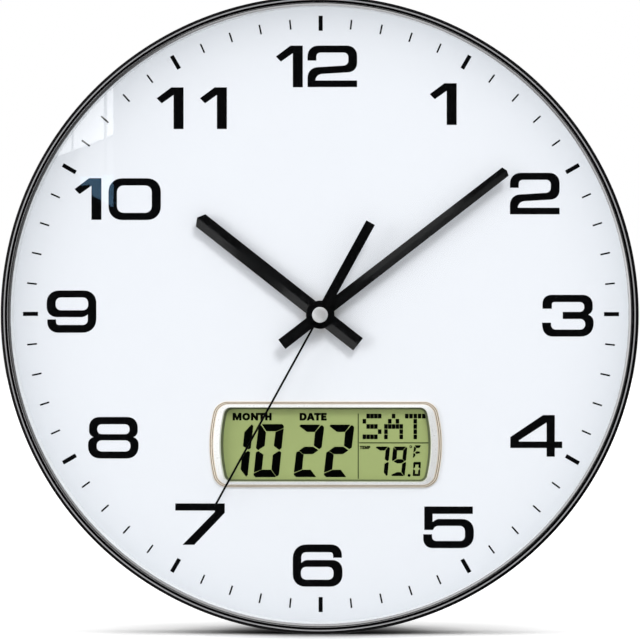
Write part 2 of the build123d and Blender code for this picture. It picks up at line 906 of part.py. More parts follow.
with BuildPart() as third_wheel:
    round_bar(third_place, arbor_radius, arbor_back, arbor_front)
    gear(third_place, third_wheel_teeth, seconds_module, third_phase, layer(third_layer), wheel_thickness)
    gear(third_place, third_pinion_teeth, third_module, 0, layer(centre_layer), pinion_length)
    round_bar(third_place, arbor_radius + pivot_boss_wall / 2, layer(third_layer), layer(centre_layer))

minute_seat = bushing_front + hand_lift + hand_pitch
with BuildPart() as centre_wheel:
    tube_back = layer(centre_layer) - wheel_thickness / 2
    round_bar(centre_place, minute_tube_radius, tube_back, minute_seat)
    round_bar(centre_place, minute_tube_radius - seat_step, tube_back, minute_seat + seat_length)
    gear(
        centre_place,
        centre_wheel_teeth,
        third_module,
        centre_phase,
        layer(centre_layer),
        wheel_thickness,
    )
    gear(centre_place, cannon_teeth, cannon_module, 0, layer(motion_layer), pinion_length)
    round_bar(centre_place, minute_bore, tube_back, minute_seat + seat_length, Mode.SUBTRACT)

with BuildPart() as motion_wheel:
    gear(
        motion_place,
        motion_wheel_teeth,
        cannon_module,
        motion_phase,
        layer(motion_layer),
        wheel_thickness,
    )
    gear(motion_place, motion_pinion_teeth, motion_module, 0, layer(hour_layer), pinion_length)
    hub_back = motion_end + running_clearance
    hub_front = front_plate_back - 2 * end_play
    motion_bore = motion_post_radius + running_clearance
    round_bar(motion_place, motion_bore + pivot_boss_wall / 2, hub_back, hub_front)
    round_bar(motion_place, motion_bore, hub_back, hub_front, Mode.SUBTRACT)

hour_seat = bushing_front + hand_lift
with BuildPart() as hour_wheel:
    hub_back = layer(hour_layer) - wheel_thickness / 2
    gear(centre_place, hour_wheel_teeth, motion_module, hour_phase, layer(hour_layer), wheel_thickness)
    round_bar(centre_place, bushing_radius, hub_back, front_plate_back - end_play)
    round_bar(centre_place, hour_tube_radius, hub_back, hour_seat)
    round_bar(centre_place, hour_tube_radius - seat_step, hub_back, hour_seat + seat_length)
    round_bar(centre_place, hour_bore, hub_back, hour_seat + seat_length, Mode.SUBTRACT)

with BuildPart() as setting_knob:
    knob_front = movement_back - knob_gap
    knob_back = knob_front - knob_height
    round_bar(setting_place, setting_shaft_radius, knob_back, arbor_front)
    gear(setting_place, cannon_teeth, cannon_module, setting_phase, layer(motion_layer), pinion_length)
    with BuildSketch(level(knob_back)):
        with Locations(setting_place):
            Circle(knob_radius)
            with PolarLocations(knob_radius, knob_notches):
                Circle(knob_notch_radius, mode=Mode.SUBTRACT)
    extrude(amount=knob_height)

aa_place = bay_place
with BuildPart() as aa_cell:
    cell(aa_place, aa_radius, aa_length, aa_nub_radius, 1, aa_depth)

with BuildPart() as cell_contacts:
    for side in (-1, 1):
        contact(aa_place, aa_radius, (aa_length + nub_length) / 2, side, aa_contact_reach, aa_depth)


# Hands
def hand_plane(bearing, reach, depth):
    """The plane square across a hand, whose second axis points at the viewer."""
    turn = radians(bearing)
    return Plane(
        origin=(reach * sin(turn), -depth, reach * cos(turn)),
        x_dir=(-cos(turn), 0, sin(turn)),
        z_dir=(sin(turn), 0, cos(turn)),
    )


def ridged_section(plane, width):
    """A hand's section: flat behind, with a ridge along the middle of its front."""
    with BuildSketch(plane) as section:
        with BuildLine():
            Polyline(
                (-width / 2, 0),
                (width / 2, 0),
                (width / 2, hand_edge),
                (0, hand_ridge),
                (-width / 2, hand_edge),
                close=True,
            )
        make_face()
    return section.sketch


def ridged_hand(bearing, length, tail, tip_width, tail_width, point, seat, bore):
    """A faceted bar from tail to blunt point with a hub disc around its bore."""
    tail_section = ridged_section(hand_plane(bearing, -tail, seat), tail_width)
    tip_section = ridged_section(hand_plane(bearing, length, seat), tip_width)
    loft([tail_section, tip_section], ruled=True)
    shoulder = length - point * 2 * tail_width / tip_width
    with BuildSketch(level(seat).rotated((0, 0, -bearing))) as corners:
        for side in (-1, 1):
            with BuildLine():
                Polyline((0, length), (side * tail_width, shoulder), (side * tail_width, length), close=True)
            make_face()
    extrude(corners.sketch, amount=hand_ridge, mode=Mode.SUBTRACT)
    round_bar((0, 0), hub_radius, seat, seat + hub_thickness)
    round_bar((0, 0), bore, seat, seat + hand_ridge, Mode.SUBTRACT)


with BuildPart() as hour_hand:
    bore = hour_tube_radius - seat_step + press_clearance
    ridged_hand(hour_bearing, hour_length, hour_tail, hour_width, hour_width, hour_point, hour_seat, bore)

with BuildPart() as minute_hand:
    bore = minute_tube_radius - seat_step + press_clearance
    ridged_hand(
        minute_bearing,
        minute_length,
        minute_tail,
        minute_tip_width,
        minute_tail_width,
        minute_point,
        minute_seat,
        bore,
    )

with BuildPart() as second_hand:
    needle_plane = hand_plane(second_bearing, 0, second_blade)
    with BuildSketch(needle_plane):
        Rectangle(second_needle_width, second_thickness, align=(Align.CENTER, Align.MIN))
    extrude(amount=second_length)
    with BuildSketch(needle_plane):
        Rectangle(second_tail_width, second_thickness, align=(Align.CENTER, Align.MIN))
    extrude(amount=-second_tail)
    round_bar((0, 0), second_tail_width / 2, second_blade, second_blade + second_thickness)
    round_bar((0, 0), second_pipe_radius, second_seat, second_nose)
    pipe_bore = second_arbor_radius + press_clearance
    round_bar((0, 0), pipe_bore, second_seat, second_arbor_front, Mode.SUBTRACT)

with BuildPart() as second_cap:
    cap_back = second_blade + second_thickness
    cap_front = cap_back + cap_height
    with BuildSketch(section_plane):
        with BuildLine():
            Line((0, cap_front), (0, cap_back))
            Line((0, cap_back), (cap_radius, cap_back))
            Line((cap_radius, cap_back), (cap_radius, cap_front - cap_round))
            TangentArc((cap_radius, cap_front - cap_round), (cap_radius - cap_round, cap_front), tangent=(0, 1))
            Line((cap_radius - cap_round, cap_front), (0, cap_front))
        make_face()
    revolve(axis=Axis.Y)
    round_bar((0, 0), second_pipe_radius + press_clearance, cap_back, second_nose, Mode.SUBTRACT)


# Display frame, whose short ends bulge outwards
def bulged_face(plane, width, height, bulge, corner):
    """A rectangle with bowed short ends and rounded corners, around the display's middle."""
    half_width = width / 2
    half_height = height / 2
    with BuildSketch(plane) as face:
        with BuildLine():
            middle_x, middle_y = display_place
            left = middle_x - half_width
            right = middle_x + half_width
            low = middle_y - half_height
            high = middle_y + half_height
            Line((left + bulge, high), (right - bulge, high))
            ThreePointArc((right - bulge, high), (right, middle_y), (right - bulge, low))
            Line((right - bulge, low), (left + bulge, low))
            ThreePointArc((left + bulge, low), (left, middle_y), (left + bulge, high))
        make_face()
        fillet(face.vertices(), corner)
    return face.sketch


with BuildPart() as lcd_frame:
    outline = bulged_face(level(dial_front), frame_width, frame_height, frame_bulge, frame_corner)
    extrude(outline, amount=frame_depth)
    chamfer(faces().sort_by(Axis.Y)[0].edges(), frame_outer_chamfer)
    block(
        display_place,
        window_width - 2 * fit_clearance,
        window_height - 2 * fit_clearance,
        carrier_front,
        dial_front,
        opening_corner,
    )
    opening = bulged_face(
        level(carrier_front), frame_opening_width, frame_opening_height, opening_bulge, opening_corner
    )
    extrude(opening, amount=dial_thickness + frame_depth, mode=Mode.SUBTRACT)
    front_face = faces().sort_by(Axis.Y)[0]
    chamfer(front_face.inner_wires()[0].edges(), frame_inner_chamfer)

# Display glass: the front pane stands against the dial's back
with BuildPart() as lcd_front_glass:
    front_pane_back = carrier_front - lcd_pane
    block(display_place, lcd_width, lcd_height, front_pane_back, carrier_front)

with BuildPart() as lcd_back_glass:
    back_pane_back = front_pane_back - lcd_pane
    block(display_place, lcd_width, lcd_back_height, back_pane_back, front_pane_back)

with BuildPart() as lcd_reflector:
    reflector_back = back_pane_back - reflector_thickness
    block(display_place, lcd_width, lcd_back_height, reflector_back, back_pane_back)

housing_back = carrier_back - housing_depth
with BuildPart() as lcd_housing:
    block(display_place, housing_width, housing_height, housing_back, carrier_back, housing_corner)
    for place in ear_places:
        inward = shifted(place, (display_place[0] - place[0]) * ear_reach / housing_width, 0)
        round_bar(place, ear_radius, housing_back, ear_front)
        block(inward, 2 * ear_reach, 2 * ear_radius, housing_back, ear_front)
    for place in ear_places:
        round_bar(place, ear_radius + fit_clearance, ear_front, carrier_back, Mode.SUBTRACT)
        round_bar(place, small_screw_radius + fit_clearance, housing_back, ear_front, Mode.SUBTRACT)
    block(
        display_place,
        lcd_width + 2 * fit_clearance,
        lcd_height + 2 * fit_clearance,
        reflector_back,
        carrier_back,
        mode=Mode.SUBTRACT,
    )
    block(
        display_place,
        housing_opening_width,
        housing_opening_height,
        housing_back,
        carrier_back,
        mode=Mode.SUBTRACT,
    )
    for end in (-1, 1):
        block(
            shifted(display_place, 0, end * zebra_rise),
            zebra_length + fit_clearance,
            zebra_thickness + fit_clearance,
            housing_back,
            carrier_back,
            mode=Mode.SUBTRACT,
        )
    for place in board_screw_places:
        round_bar(place, small_thread_hole, housing_back, housing_back + small_screw_bite, Mode.SUBTRACT)

with BuildPart() as zebra_strips:
    for end in (-1, 1):
        block(
            shifted(display_place, 0, end * zebra_rise),
            zebra_length,
            zebra_thickness,
            housing_back,
            front_pane_back,
        )

lcd_board_back = housing_back - lcd_board_thickness
with BuildPart() as lcd_board:
    block(display_place, lcd_board_width, lcd_board_height, lcd_board_back, housing_back)
    for place in board_screw_places:
        round_bar(place, small_screw_radius + fit_clearance, lcd_board_back, housing_back, Mode.SUBTRACT)

with BuildPart() as display_driver:
    driver_place = shifted(display_place, 0, -driver_drop)
    round_bar(driver_place, driver_radius, lcd_board_back - driver_height, lcd_board_back)
    chamfer(faces().sort_by(Axis.Y)[-1].edges(), driver_height / 2)

with BuildPart() as temperature_sensor:
    lead_place = shifted(display_place, sensor_shift, -lcd_board_height / 2)
    for side in (-1, 1):
        block(
            shifted(lead_place, side * sensor_lead_gap / 2, 0),
            sensor_lead,
            2 * sensor_lead_length,
            lcd_board_back - sensor_lead,
            lcd_board_back,
        )
    bead_place = shifted(lead_place, 0, -sensor_lead_length)
    bead_middle = lcd_board_back - sensor_lead / 2
    bead_half = sensor_bead_thickness / 2
    round_bar(bead_place, sensor_bead_radius, bead_middle - bead_half, bead_middle + bead_half)

with BuildPart() as board_screws:
    for place in board_screw_places:
        head_back = lcd_board_back - small_screw_head_height
        round_bar(place, small_screw_head_radius, head_back, lcd_board_back)
        round_bar(place, small_screw_radius, lcd_board_back, housing_back + small_screw_bite)

with BuildPart() as module_screws:
    for place in ear_places:
        head_back = housing_back - small_screw_head_height
        round_bar(place, small_screw_head_radius, head_back, housing_back)
        round_bar(place, small_screw_radius, housing_back, ear_front + small_screw_bite)

switch_back = lcd_board_back - switch_height
plunger_back = switch_back - plunger_height
with BuildPart() as set_switches:
    for place in button_places:
        block(place, switch_width, switch_width, switch_back, lcd_board_back)
        round_bar(place, plunger_radius, plunger_back, switch_back)

# Set buttons: a cap through the cover, a flange behind it and a stem that reaches its switch
set_buttons = []
for place in button_places:
    with BuildPart() as set_button:
        flange_back = plate_front + running_clearance
        flange_front = flange_back + button_flange_thickness
        round_bar(place, button_radius, plate_back - button_proud, flange_front)
        round_bar(place, flange_radius, flange_back, flange_front)
        stem_front = plunger_back - button_travel - end_play
        round_bar(place, button_stem_radius, flange_front, stem_front)
    set_buttons.append(set_button)

# Display cells, their contacts and the pocket's door
cell_rows = [
    (1, (0, pocket_rise + aaa_radius + cell_play / 2)),
    (-1, (0, pocket_rise - aaa_radius - cell_play / 2)),
]
with BuildPart() as display_cells:
    for side, place in cell_rows:
        cell(place, aaa_radius, aaa_length, aaa_nub_radius, side, cells_depth)

with BuildPart() as display_cell_contacts:
    aaa_reach = contact_thickness + cell_play
    aaa_half_length = (aaa_length + nub_length) / 2
    for end in (-1, 1):
        for side, place in cell_rows:
            contact(place, aaa_radius, aaa_half_length, end, aaa_reach, cells_depth)

with BuildPart() as battery_door:
    door_width = mouth_width - 2 * fit_clearance
    door_height = mouth_height - 2 * fit_clearance
    block(pocket_place, door_width, door_height, plate_back, mouth_front)
    for side in (-1, 1):
        lug_middle = pocket_top - fit_clearance - tab_lug / 2
        block((side * tab_spread / 2, lug_middle), tab_width, tab_lug, mouth_front, tab_front)
        tab_low = pocket_top - fit_clearance - tab_lug
        block(
            (side * tab_spread / 2, (tab_low + tab_top) / 2),
            tab_width,
            tab_top - tab_low,
            tab_back,
            tab_front,
        )

# Every piece by name, written one file each
pieces = {
    "bezel_ring": bezel_ring,
    "crystal": crystal,
    "glass_gasket": glass_gasket,
    "spacer_ring": spacer_ring,
    "dial": dial,
    "dial_carrier": dial_carrier,
    "back_cover": back_cover,
    "case_screws": case_screws,
    "movement_front_case": movement_front_case,
    "movement_back_case": movement_back_case,
    "fixing_washer": fixing_washer,
    "fixing_nut": fixing_nut,
    "rotor": rotor,
    "stator": stator,
    "coil_core": coil_core,
    "coil": coil,
    "movement_board": movement_board,
    "quartz_can": quartz_can,
    "intermediate_wheel": intermediate_wheel,
    "seconds_wheel": seconds_wheel,
    "third_wheel": third_wheel,
    "centre_wheel": centre_wheel,
    "motion_wheel": motion_wheel,
    "hour_wheel": hour_wheel,
    "setting_knob": setting_knob,
    "aa_cell": aa_cell,
    "cell_contacts": cell_contacts,
    "hour_hand": hour_hand,
    "minute_hand": minute_hand,
    "second_hand": second_hand,
    "second_cap": second_cap,
    "lcd_frame": lcd_frame,
    "lcd_front_glass": lcd_front_glass,
    "lcd_back_glass": lcd_back_glass,
    "lcd_reflector": lcd_reflector,
    "lcd_housing": lcd_housing,
    "zebra_strips": zebra_strips,
    "lcd_board": lcd_board,
    "display_driver": display_driver,
    "temperature_sensor": temperature_sensor,
    "board_screws": board_screws,
    "module_screws": module_screws,
    "set_switches": set_switches,
    "display_cells": display_cells,
    "display_cell_contacts": display_cell_contacts,
    "battery_door": battery_door,
}
for number, set_button in enumerate(set_buttons, start=1):
    pieces[f"set_button_{number}"] = set_button

os.makedirs("parts", exist_ok=True)
for name, piece in pieces.items():
    piece.part.label = name
    export_step(piece.part, f"parts/{name}.step")
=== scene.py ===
# %% [markdown]
# # A wall clock with a calendar display
# The imported model is the fixed frame: every piece below is drawn in its coordinates, in metres, with the
# wall at y = 0, the dial facing -Y and +Z up. Its box is kept first.

# %% Load the frame
import json
from math import copysign, cos, pi, radians, sin, sqrt
import bmesh
import bpy
from mathutils import Matrix, Vector

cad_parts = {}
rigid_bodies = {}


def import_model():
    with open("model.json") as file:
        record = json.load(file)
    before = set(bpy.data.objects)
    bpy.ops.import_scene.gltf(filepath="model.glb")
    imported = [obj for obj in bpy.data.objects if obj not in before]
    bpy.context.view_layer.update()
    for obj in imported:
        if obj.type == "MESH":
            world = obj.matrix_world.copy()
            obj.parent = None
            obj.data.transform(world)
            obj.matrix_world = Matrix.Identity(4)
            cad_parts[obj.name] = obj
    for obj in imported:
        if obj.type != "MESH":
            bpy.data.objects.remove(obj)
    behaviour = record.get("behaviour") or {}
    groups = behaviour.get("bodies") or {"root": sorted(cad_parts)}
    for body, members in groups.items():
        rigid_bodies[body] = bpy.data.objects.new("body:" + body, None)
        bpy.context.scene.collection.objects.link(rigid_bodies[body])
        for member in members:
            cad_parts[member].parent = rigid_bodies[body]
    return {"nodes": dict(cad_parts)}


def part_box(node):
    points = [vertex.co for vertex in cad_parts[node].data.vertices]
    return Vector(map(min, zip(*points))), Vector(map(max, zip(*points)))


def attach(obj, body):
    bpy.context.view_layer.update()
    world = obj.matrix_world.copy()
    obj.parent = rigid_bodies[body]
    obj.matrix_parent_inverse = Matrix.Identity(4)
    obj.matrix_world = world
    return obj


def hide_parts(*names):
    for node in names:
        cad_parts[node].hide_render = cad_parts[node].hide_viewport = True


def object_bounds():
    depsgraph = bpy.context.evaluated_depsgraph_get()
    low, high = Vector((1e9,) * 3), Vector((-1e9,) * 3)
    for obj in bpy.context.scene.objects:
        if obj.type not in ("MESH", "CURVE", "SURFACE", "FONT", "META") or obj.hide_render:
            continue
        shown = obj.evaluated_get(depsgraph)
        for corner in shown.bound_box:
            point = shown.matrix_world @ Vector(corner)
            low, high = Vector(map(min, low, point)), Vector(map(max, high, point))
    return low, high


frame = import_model()
model_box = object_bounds()
nodes = frame["nodes"]

# %% [markdown]
# ## Measuring as the clockmaker does
# A clock is drawn from the front: across, up, and a depth towards the viewer, in millimetres. One helper
# turns such a spot into the frame's metres, so the numbers below can be read against a ruler on the dial.
# Another stands a flat drawing, made in millimetres, upright at a spot.

# %% Front coordinates
MM = 0.001


def spot(across, up, depth):
    return Vector((across, -depth, up)) * MM


FACE = Matrix(((1, 0, 0, 0), (0, 0, -1, 0), (0, 1, 0, 0), (0, 0, 0, 1)))


def facing_out(across, up, depth):
    return Matrix.Translation(spot(across, up, depth)) @ FACE @ Matrix.Scale(MM, 4)


dial_front = -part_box("dial")[0].y / MM
glass_front = -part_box("crystal")[0].y / MM
lcd_front = -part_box("lcd_front_glass")[0].y / MM
clock_front = -model_box[0].y / MM
clock_radius = model_box[1].x / MM
print("depths", [round(v, 2) for v in (lcd_front, dial_front, glass_front, clock_front)])

# %% [markdown]
# ## Shader maths as plain Python
# Node trees get hard to read when every sum is a node by hand. A small class wraps a socket, so that
# `1 - mask` or `grain * 0.2 + 0.3` adds its own Math nodes. Everything that is not a sum comes from one
# method, `node`, which sets a node's options first and then its sockets. A finish is kept in a new material
# unless it is given something else to fill, such as the world.


# %% Socket class
class Wire:
    def __init__(self, finish, socket):
        self.finish, self.socket = finish, socket

    def maths(self, operation, first, second):
        made = self.finish.node("ShaderNodeMath", {"operation": operation}, {0: first, 1: second})
        return self.finish.out(made)

    def __add__(self, other):
        return self.maths("ADD", self, other)

    def __radd__(self, other):
        return self.maths("ADD", other, self)

    def __sub__(self, other):
        return self.maths("SUBTRACT", self, other)

    def __rsub__(self, other):
        return self.maths("SUBTRACT", other, self)

    def __mul__(self, other):
        return self.maths("MULTIPLY", self, other)

    def __rmul__(self, other):
        return self.maths("MULTIPLY", other, self)

    def __truediv__(self, other):
        return self.maths("DIVIDE", self, other)

    def __pow__(self, other):
        return self.maths("POWER", self, other)

    def __gt__(self, other):
        return self.maths("GREATER_THAN", self, other)

    def __lt__(self, other):
        return self.maths("LESS_THAN", self, other)

    def at_least(self, other):
        return self.maths("MAXIMUM", self, other)

    def sine(self):
        return self.maths("SINE", self, 0)

    def wave(self):
        return self.sine() * 0.5 + 0.5


print("socket class ready")


# %% Finish builder
class Finish:
    def __init__(self, name, kept_in=None, output="ShaderNodeOutputMaterial"):
        self.kept_in, self.output = kept_in or bpy.data.materials.new(name), output
        self.kept_in.use_nodes = True
        self.tree = self.kept_in.node_tree
        self.tree.nodes.clear()
        self.place = None

    def node(self, kind, settings, sockets):
        made = self.tree.nodes.new(kind)
        for key, value in settings.items():
            if key == "stops":
                ramp = made.color_ramp
                while len(ramp.elements) < len(value):
                    ramp.elements.new(0.5)
                for element, (position, colour) in zip(ramp.elements, value):
                    element.position = position
                    element.color = (*colour, 1)
            else:
                setattr(made, key, value)
        for key, value in sockets.items():
            if isinstance(value, Wire):
                self.tree.links.new(value.socket, made.inputs[key])
            elif isinstance(value, tuple) and made.inputs[key].type == "RGBA":
                made.inputs[key].default_value = (*value, 1)
            else:
                made.inputs[key].default_value = value
        return made

    def out(self, made, key=0):
        return Wire(self, made.outputs[key])

    def coords(self):
        if self.place is None:
            self.place = self.out(self.node("ShaderNodeTexCoord", {}, {}), "Object")
        return self.place

    def axes(self):
        split = self.node("ShaderNodeSeparateXYZ", {}, {0: self.coords()})
        return [self.out(split, key) for key in ("X", "Y", "Z")]

    def from_axis(self):
        x, y, z = self.axes()
        return (x * x + z * z) ** 0.5

    def noise(self, scale, detail=4.0, rough=0.55, stretch=(1, 1, 1)):
        sized = self.node(
            "ShaderNodeMapping", {"vector_type": "POINT"}, {"Vector": self.coords(), "Scale": stretch}
        )
        made = self.node(
            "ShaderNodeTexNoise",
            {"noise_dimensions": "3D"},
            {"Vector": self.out(sized), "Scale": scale, "Detail": detail, "Roughness": rough},
        )
        return self.out(made, "Fac")

    def greys(self, value, stops):
        stops = [(share, (grey, grey, grey)) for share, grey in stops]
        return self.out(self.node("ShaderNodeValToRGB", {"stops": stops}, {"Fac": value}), "Color")

    def mix(self, factor, first, second):
        made = self.node(
            "ShaderNodeMix", {"data_type": "RGBA"}, {"Factor": factor, 6: first, 7: second}
        )
        return self.out(made, 2)

    def bump(self, height, distance, strength=1.0):
        made = self.node(
            "ShaderNodeBump", {}, {"Height": height, "Distance": distance, "Strength": strength}
        )
        return self.out(made, "Normal")

    def done(self, shader):
        self.node(self.output, {}, {"Surface": self.out(shader)})
        return self.kept_in

    def surface(self, **sockets):
        named = {key.replace("_", " "): value for key, value in sockets.items()}
        return self.done(self.node("ShaderNodeBsdfPrincipled", {}, named))


print("finish builder ready")

# %% [markdown]
# ## Turning meshes into pieces
# A finished piece needs the same few things each time: outward normals, smooth shading that stays crisp at
# real corners, its finishes, the body that it rides on and the model node that it stands for.


# %% Piece helper
def piece(bm, name, body, finishes, stands_for=(), crisp=32):
    bmesh.ops.remove_doubles(bm, verts=bm.verts, dist=1e-7)
    bmesh.ops.recalc_face_normals(bm, faces=bm.faces)
    mesh = bpy.data.meshes.new(name)
    bm.to_mesh(mesh)
    bm.free()
    for finish in finishes:
        mesh.materials.append(finish)
    mesh.shade_smooth()
    mesh.set_sharp_from_angle(angle=radians(crisp))
    made = bpy.data.objects.new(name, mesh)
    bpy.context.scene.collection.objects.link(made)
    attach(made, body)
    if stands_for:
        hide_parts(*stands_for)
    print(name, "faces", len(mesh.polygons))
    return made


def dress(finish, *names):
    for name in names:
        slots = nodes[name].data.materials
        slots.clear()
        slots.append(finish)


# %% [markdown]
# ## The rim's finish
# The rim is gloss black moulded plastic with two silver lines: a thin painted one along the crest and a
# polished one on the inner bead, next to the glass. Both are masks on the distance from the hands' axis.
# Black gloss shows mostly what it mirrors, so a faint cloudiness in the roughness gives it life.

# %% Rim finish
crest_line, bead_line = (148.2, 148.78), (145.0, 147.1)
rim = Finish("rim_gloss_black")
radius, depth = rim.from_axis(), rim.axes()[1]
in_front = depth < -40.45 * MM
crest = (radius > crest_line[0] * MM) * (radius < crest_line[1] * MM) * in_front
bead = (radius > bead_line[0] * MM) * (radius < bead_line[1] * MM) * in_front
haze = rim.noise(55, 5)
black = rim.mix(haze, (0.0015, 0.0015, 0.0018), (0.0035, 0.0035, 0.004))
paint = rim.mix(rim.noise(900, 2), (0.33, 0.33, 0.34), (0.42, 0.42, 0.43))
polish = rim.mix(rim.noise(700, 2), (0.58, 0.58, 0.59), (0.64, 0.64, 0.65))
rim_black = rim.surface(
    Base_Color=rim.mix(bead, rim.mix(crest, black, paint), polish),
    Roughness=haze * 0.08 + crest * 0.25 + 0.08,
    Metallic=crest * 0.3 + bead * 0.95,
    Normal=rim.bump(rim.noise(700, 2), 0.00001, 0.1),
    Specular_IOR_Level=0.07,
)
print("silver lines at", crest_line, bead_line)

# %% [markdown]
# ## The rim
# A lathe makes this shape: its section is drawn once with plain corners and spun round the hands' axis.
# Then the rings that a finger would feel as round are bevelled, which gives the two beads soft edges that
# catch the light in thin lines, as moulded gloss plastic does.


# %% Spin and ring helpers, and the rim
def turned(section, steps, closed=True):
    bm = bmesh.new()
    verts = [bm.verts.new(spot(r, 0, d)) for r, d in section]
    pairs = list(zip(verts, verts[1:] + verts[:1])) if closed else list(zip(verts, verts[1:]))
    edges = [bm.edges.new(pair) for pair in pairs]
    bmesh.ops.spin(
        bm, geom=verts + edges, cent=(0, 0, 0), axis=(0, 1, 0), angle=2 * pi, steps=steps, use_merge=True
    )
    bmesh.ops.remove_doubles(bm, verts=bm.verts, dist=1e-7)
    return bm


def ring(bm, r, d, slack=1e-5):
    def on(vert):
        return abs(-vert.co.y - d * MM) < slack and abs(sqrt(vert.co.x**2 + vert.co.z**2) - r * MM) < slack

    return [edge for edge in bm.edges if all(on(vert) for vert in edge.verts)]


def soften(bm, edges, offset, segments=3):
    bmesh.ops.bevel(
        bm, geom=edges, offset=offset * MM, offset_type="OFFSET", segments=segments,
        profile=0.5, affect="EDGES", clamp_overlap=True, material=-1,
    )


rim_section = [
    (149.2, 18.0), (150.2, 24.0), (150.2, 40.8), (149.1, 41.95), (148.0, 41.95), (147.65, 41.0),
    (147.25, 41.0), (147.05, 41.6), (146.4, 41.6), (145.5, 40.75), (145.4, 40.4), (147.2, 40.4),
    (147.2, 20.0), (146.0, 20.0), (146.6, 18.0),
]
roundings = (0.3, 0.8, 0.15, 0.3, 0.3, 0.2, 0.15, 0.15, 0.25, 0.1)
bm = turned(rim_section, 240)
for corner, offset in zip(rim_section, roundings):
    soften(bm, ring(bm, *corner), offset, 4)
piece(bm, "rim", "case", [rim_black], ["bezel_ring"], crisp=8)

# %% [markdown]
# ## Glass
# Flat clear glass only adds two things to what lies behind it: a reflection that grows at a slant, and a
# trace of green. So the shader lets light straight through, which also lets the lamps reach the dial, and
# mixes in a mirror by the slant that Layer Weight gives. A refracting shader with Fresnel could do it too,
# but would darken the dial on a closed pane. The pane is a disc with a ground edge under the lip.

# %% Glass finish and pane
glass = Finish("clear_glass")
smear = glass.noise(30, 3)
clear = glass.out(glass.node("ShaderNodeBsdfTransparent", {}, {"Color": (0.985, 0.988, 0.988)}))
mirror = glass.out(
    glass.node("ShaderNodeBsdfGlossy", {}, {"Color": (1, 1, 1), "Roughness": smear * 0.02})
)
facing = glass.out(glass.node("ShaderNodeLayerWeight", {}, {"Blend": 0.5}), "Facing")
slant = facing**5 * 0.6 + 0.035
glass_clear = glass.done(glass.node("ShaderNodeMixShader", {}, {0: slant, 1: clear, 2: mirror}))

pane_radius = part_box("crystal")[1].x / MM
glass_back = -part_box("crystal")[1].y / MM
pane_section = [(0, glass_back), (pane_radius, glass_back), (pane_radius, glass_front), (0, glass_front)]
bm = turned(pane_section, 160, closed=False)
for corner in pane_section[1:3]:
    soften(bm, ring(bm, *corner), 0.3, 2)
piece(bm, "crystal_pane", "case", [glass_clear], ["crystal"], crisp=10)

# %% [markdown]
# ## Inner wall and dial
# The dial is a white satin sheet. Under a lens such a sheet is not flat colour: it has a fine tooth and a
# very slight unevenness, here two sizes of noise. Towards the wall its colour is painted darker, a painted
# shade for the shadow that the rim and wall cast there. The wall that holds the glass off it is moulded in
# the
# same white: one turned ring with a softened front edge.

# %% Dial and wall finishes
dial = Finish("dial_satin_white")
broad, tooth = dial.noise(9, 3), dial.noise(2600, 3)
edge = dial.from_axis() / (clock_radius * MM)
white = dial.mix(broad, (0.852, 0.873, 0.92), (0.874, 0.895, 0.94))
dial_white = dial.surface(
    # Painted shade: the colour darkens towards the wall, standing for the rim's shadow on the dial.
    Base_Color=dial.mix(edge**14, white, (0.58, 0.60, 0.625)),
    Roughness=tooth * 0.15 + 0.42,
    Normal=dial.bump(tooth, 0.00001, 0.15),
    Specular_IOR_Level=0.3,
)
dress(dial_white, "dial")

wall = Finish("wall_satin_white")
wall_white = wall.surface(
    Base_Color=wall.mix(wall.noise(40, 3), (0.80, 0.82, 0.84), (0.86, 0.875, 0.89)),
    Roughness=wall.noise(300, 3) * 0.2 + 0.35,
    Normal=wall.bump(wall.noise(1500, 2), 0.00001, 0.3),
    Specular_IOR_Level=0.25,
)
wall_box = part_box("spacer_ring")
wall_out, wall_front = wall_box[1].x / MM, -wall_box[0].y / MM
wall_section = [(wall_out, dial_front), (wall_out, wall_front), (145.6, wall_front), (145.3, dial_front)]
bm = turned(wall_section, 200)
soften(bm, ring(bm, *wall_section[2]), 0.3, 3)
piece(bm, "inner_wall", "case", [wall_white], ["spacer_ring"])

# %% [markdown]
# ## Printed ink
# The hour and minute marks are screen printed: a film of black ink a few hundredths of a millimetre high.
# Each kind of mark is one small bar; `spin` with duplicates repeats it round the dial, which is how a
# printer steps and repeats a mark too. The whole print sits a quarter of a millimetre high on its sheet.

# %% Ink finish and minute marks
ink = Finish("printing_ink_black")
film = ink.noise(800, 4)
ink_black = ink.surface(
    Base_Color=ink.mix(film, (0.0012, 0.0013, 0.0016), (0.0026, 0.0027, 0.003)),
    Roughness=film * 0.2 + 0.4,
    Normal=ink.bump(film, 0.00001, 0.4),
    Specular_IOR_Level=0.03,
)
ink_height, print_up = 0.06, 0.25


def marks(bm, turn, inner, outer, width):
    made = bmesh.ops.create_cube(bm, size=1)["verts"]
    bmesh.ops.scale(bm, vec=(width * MM, ink_height * MM, (outer - inner) * MM), verts=made)
    bmesh.ops.translate(bm, vec=spot(0, (inner + outer) / 2, dial_front + ink_height / 2), verts=made)
    bmesh.ops.rotate(bm, cent=(0, 0, 0), matrix=Matrix.Rotation(radians(turn), 3, "Y"), verts=made)
    geom = list({item for vert in made for item in (vert, *vert.link_edges, *vert.link_faces)})
    bmesh.ops.spin(
        bm, geom=geom, cent=(0, 0, 0), axis=(0, 1, 0), angle=radians(330), steps=11, use_duplicate=True
    )


hour_mark, minute_mark = (133.8, 140.9, 1.95), (135.1, 139.7, 0.78)
bm = bmesh.new()
marks(bm, 0, *hour_mark)
for minute in range(1, 5):
    marks(bm, 6 * minute, *minute_mark)
bmesh.ops.translate(bm, vec=spot(0, print_up, 0), verts=bm.verts)
piece(bm, "dial_marks", "case", [ink_black])

# %% [markdown]
# ## Numbers
# The numbers are a wide, square letter with rounded corners. No font is needed: each digit is an outline of
# a few corners, and a third number rounds a corner. A flat curve fills such outlines and leaves the inner
# ones open, and it becomes a mesh before it is put on the dial. One unit is a 42nd of a digit's height.


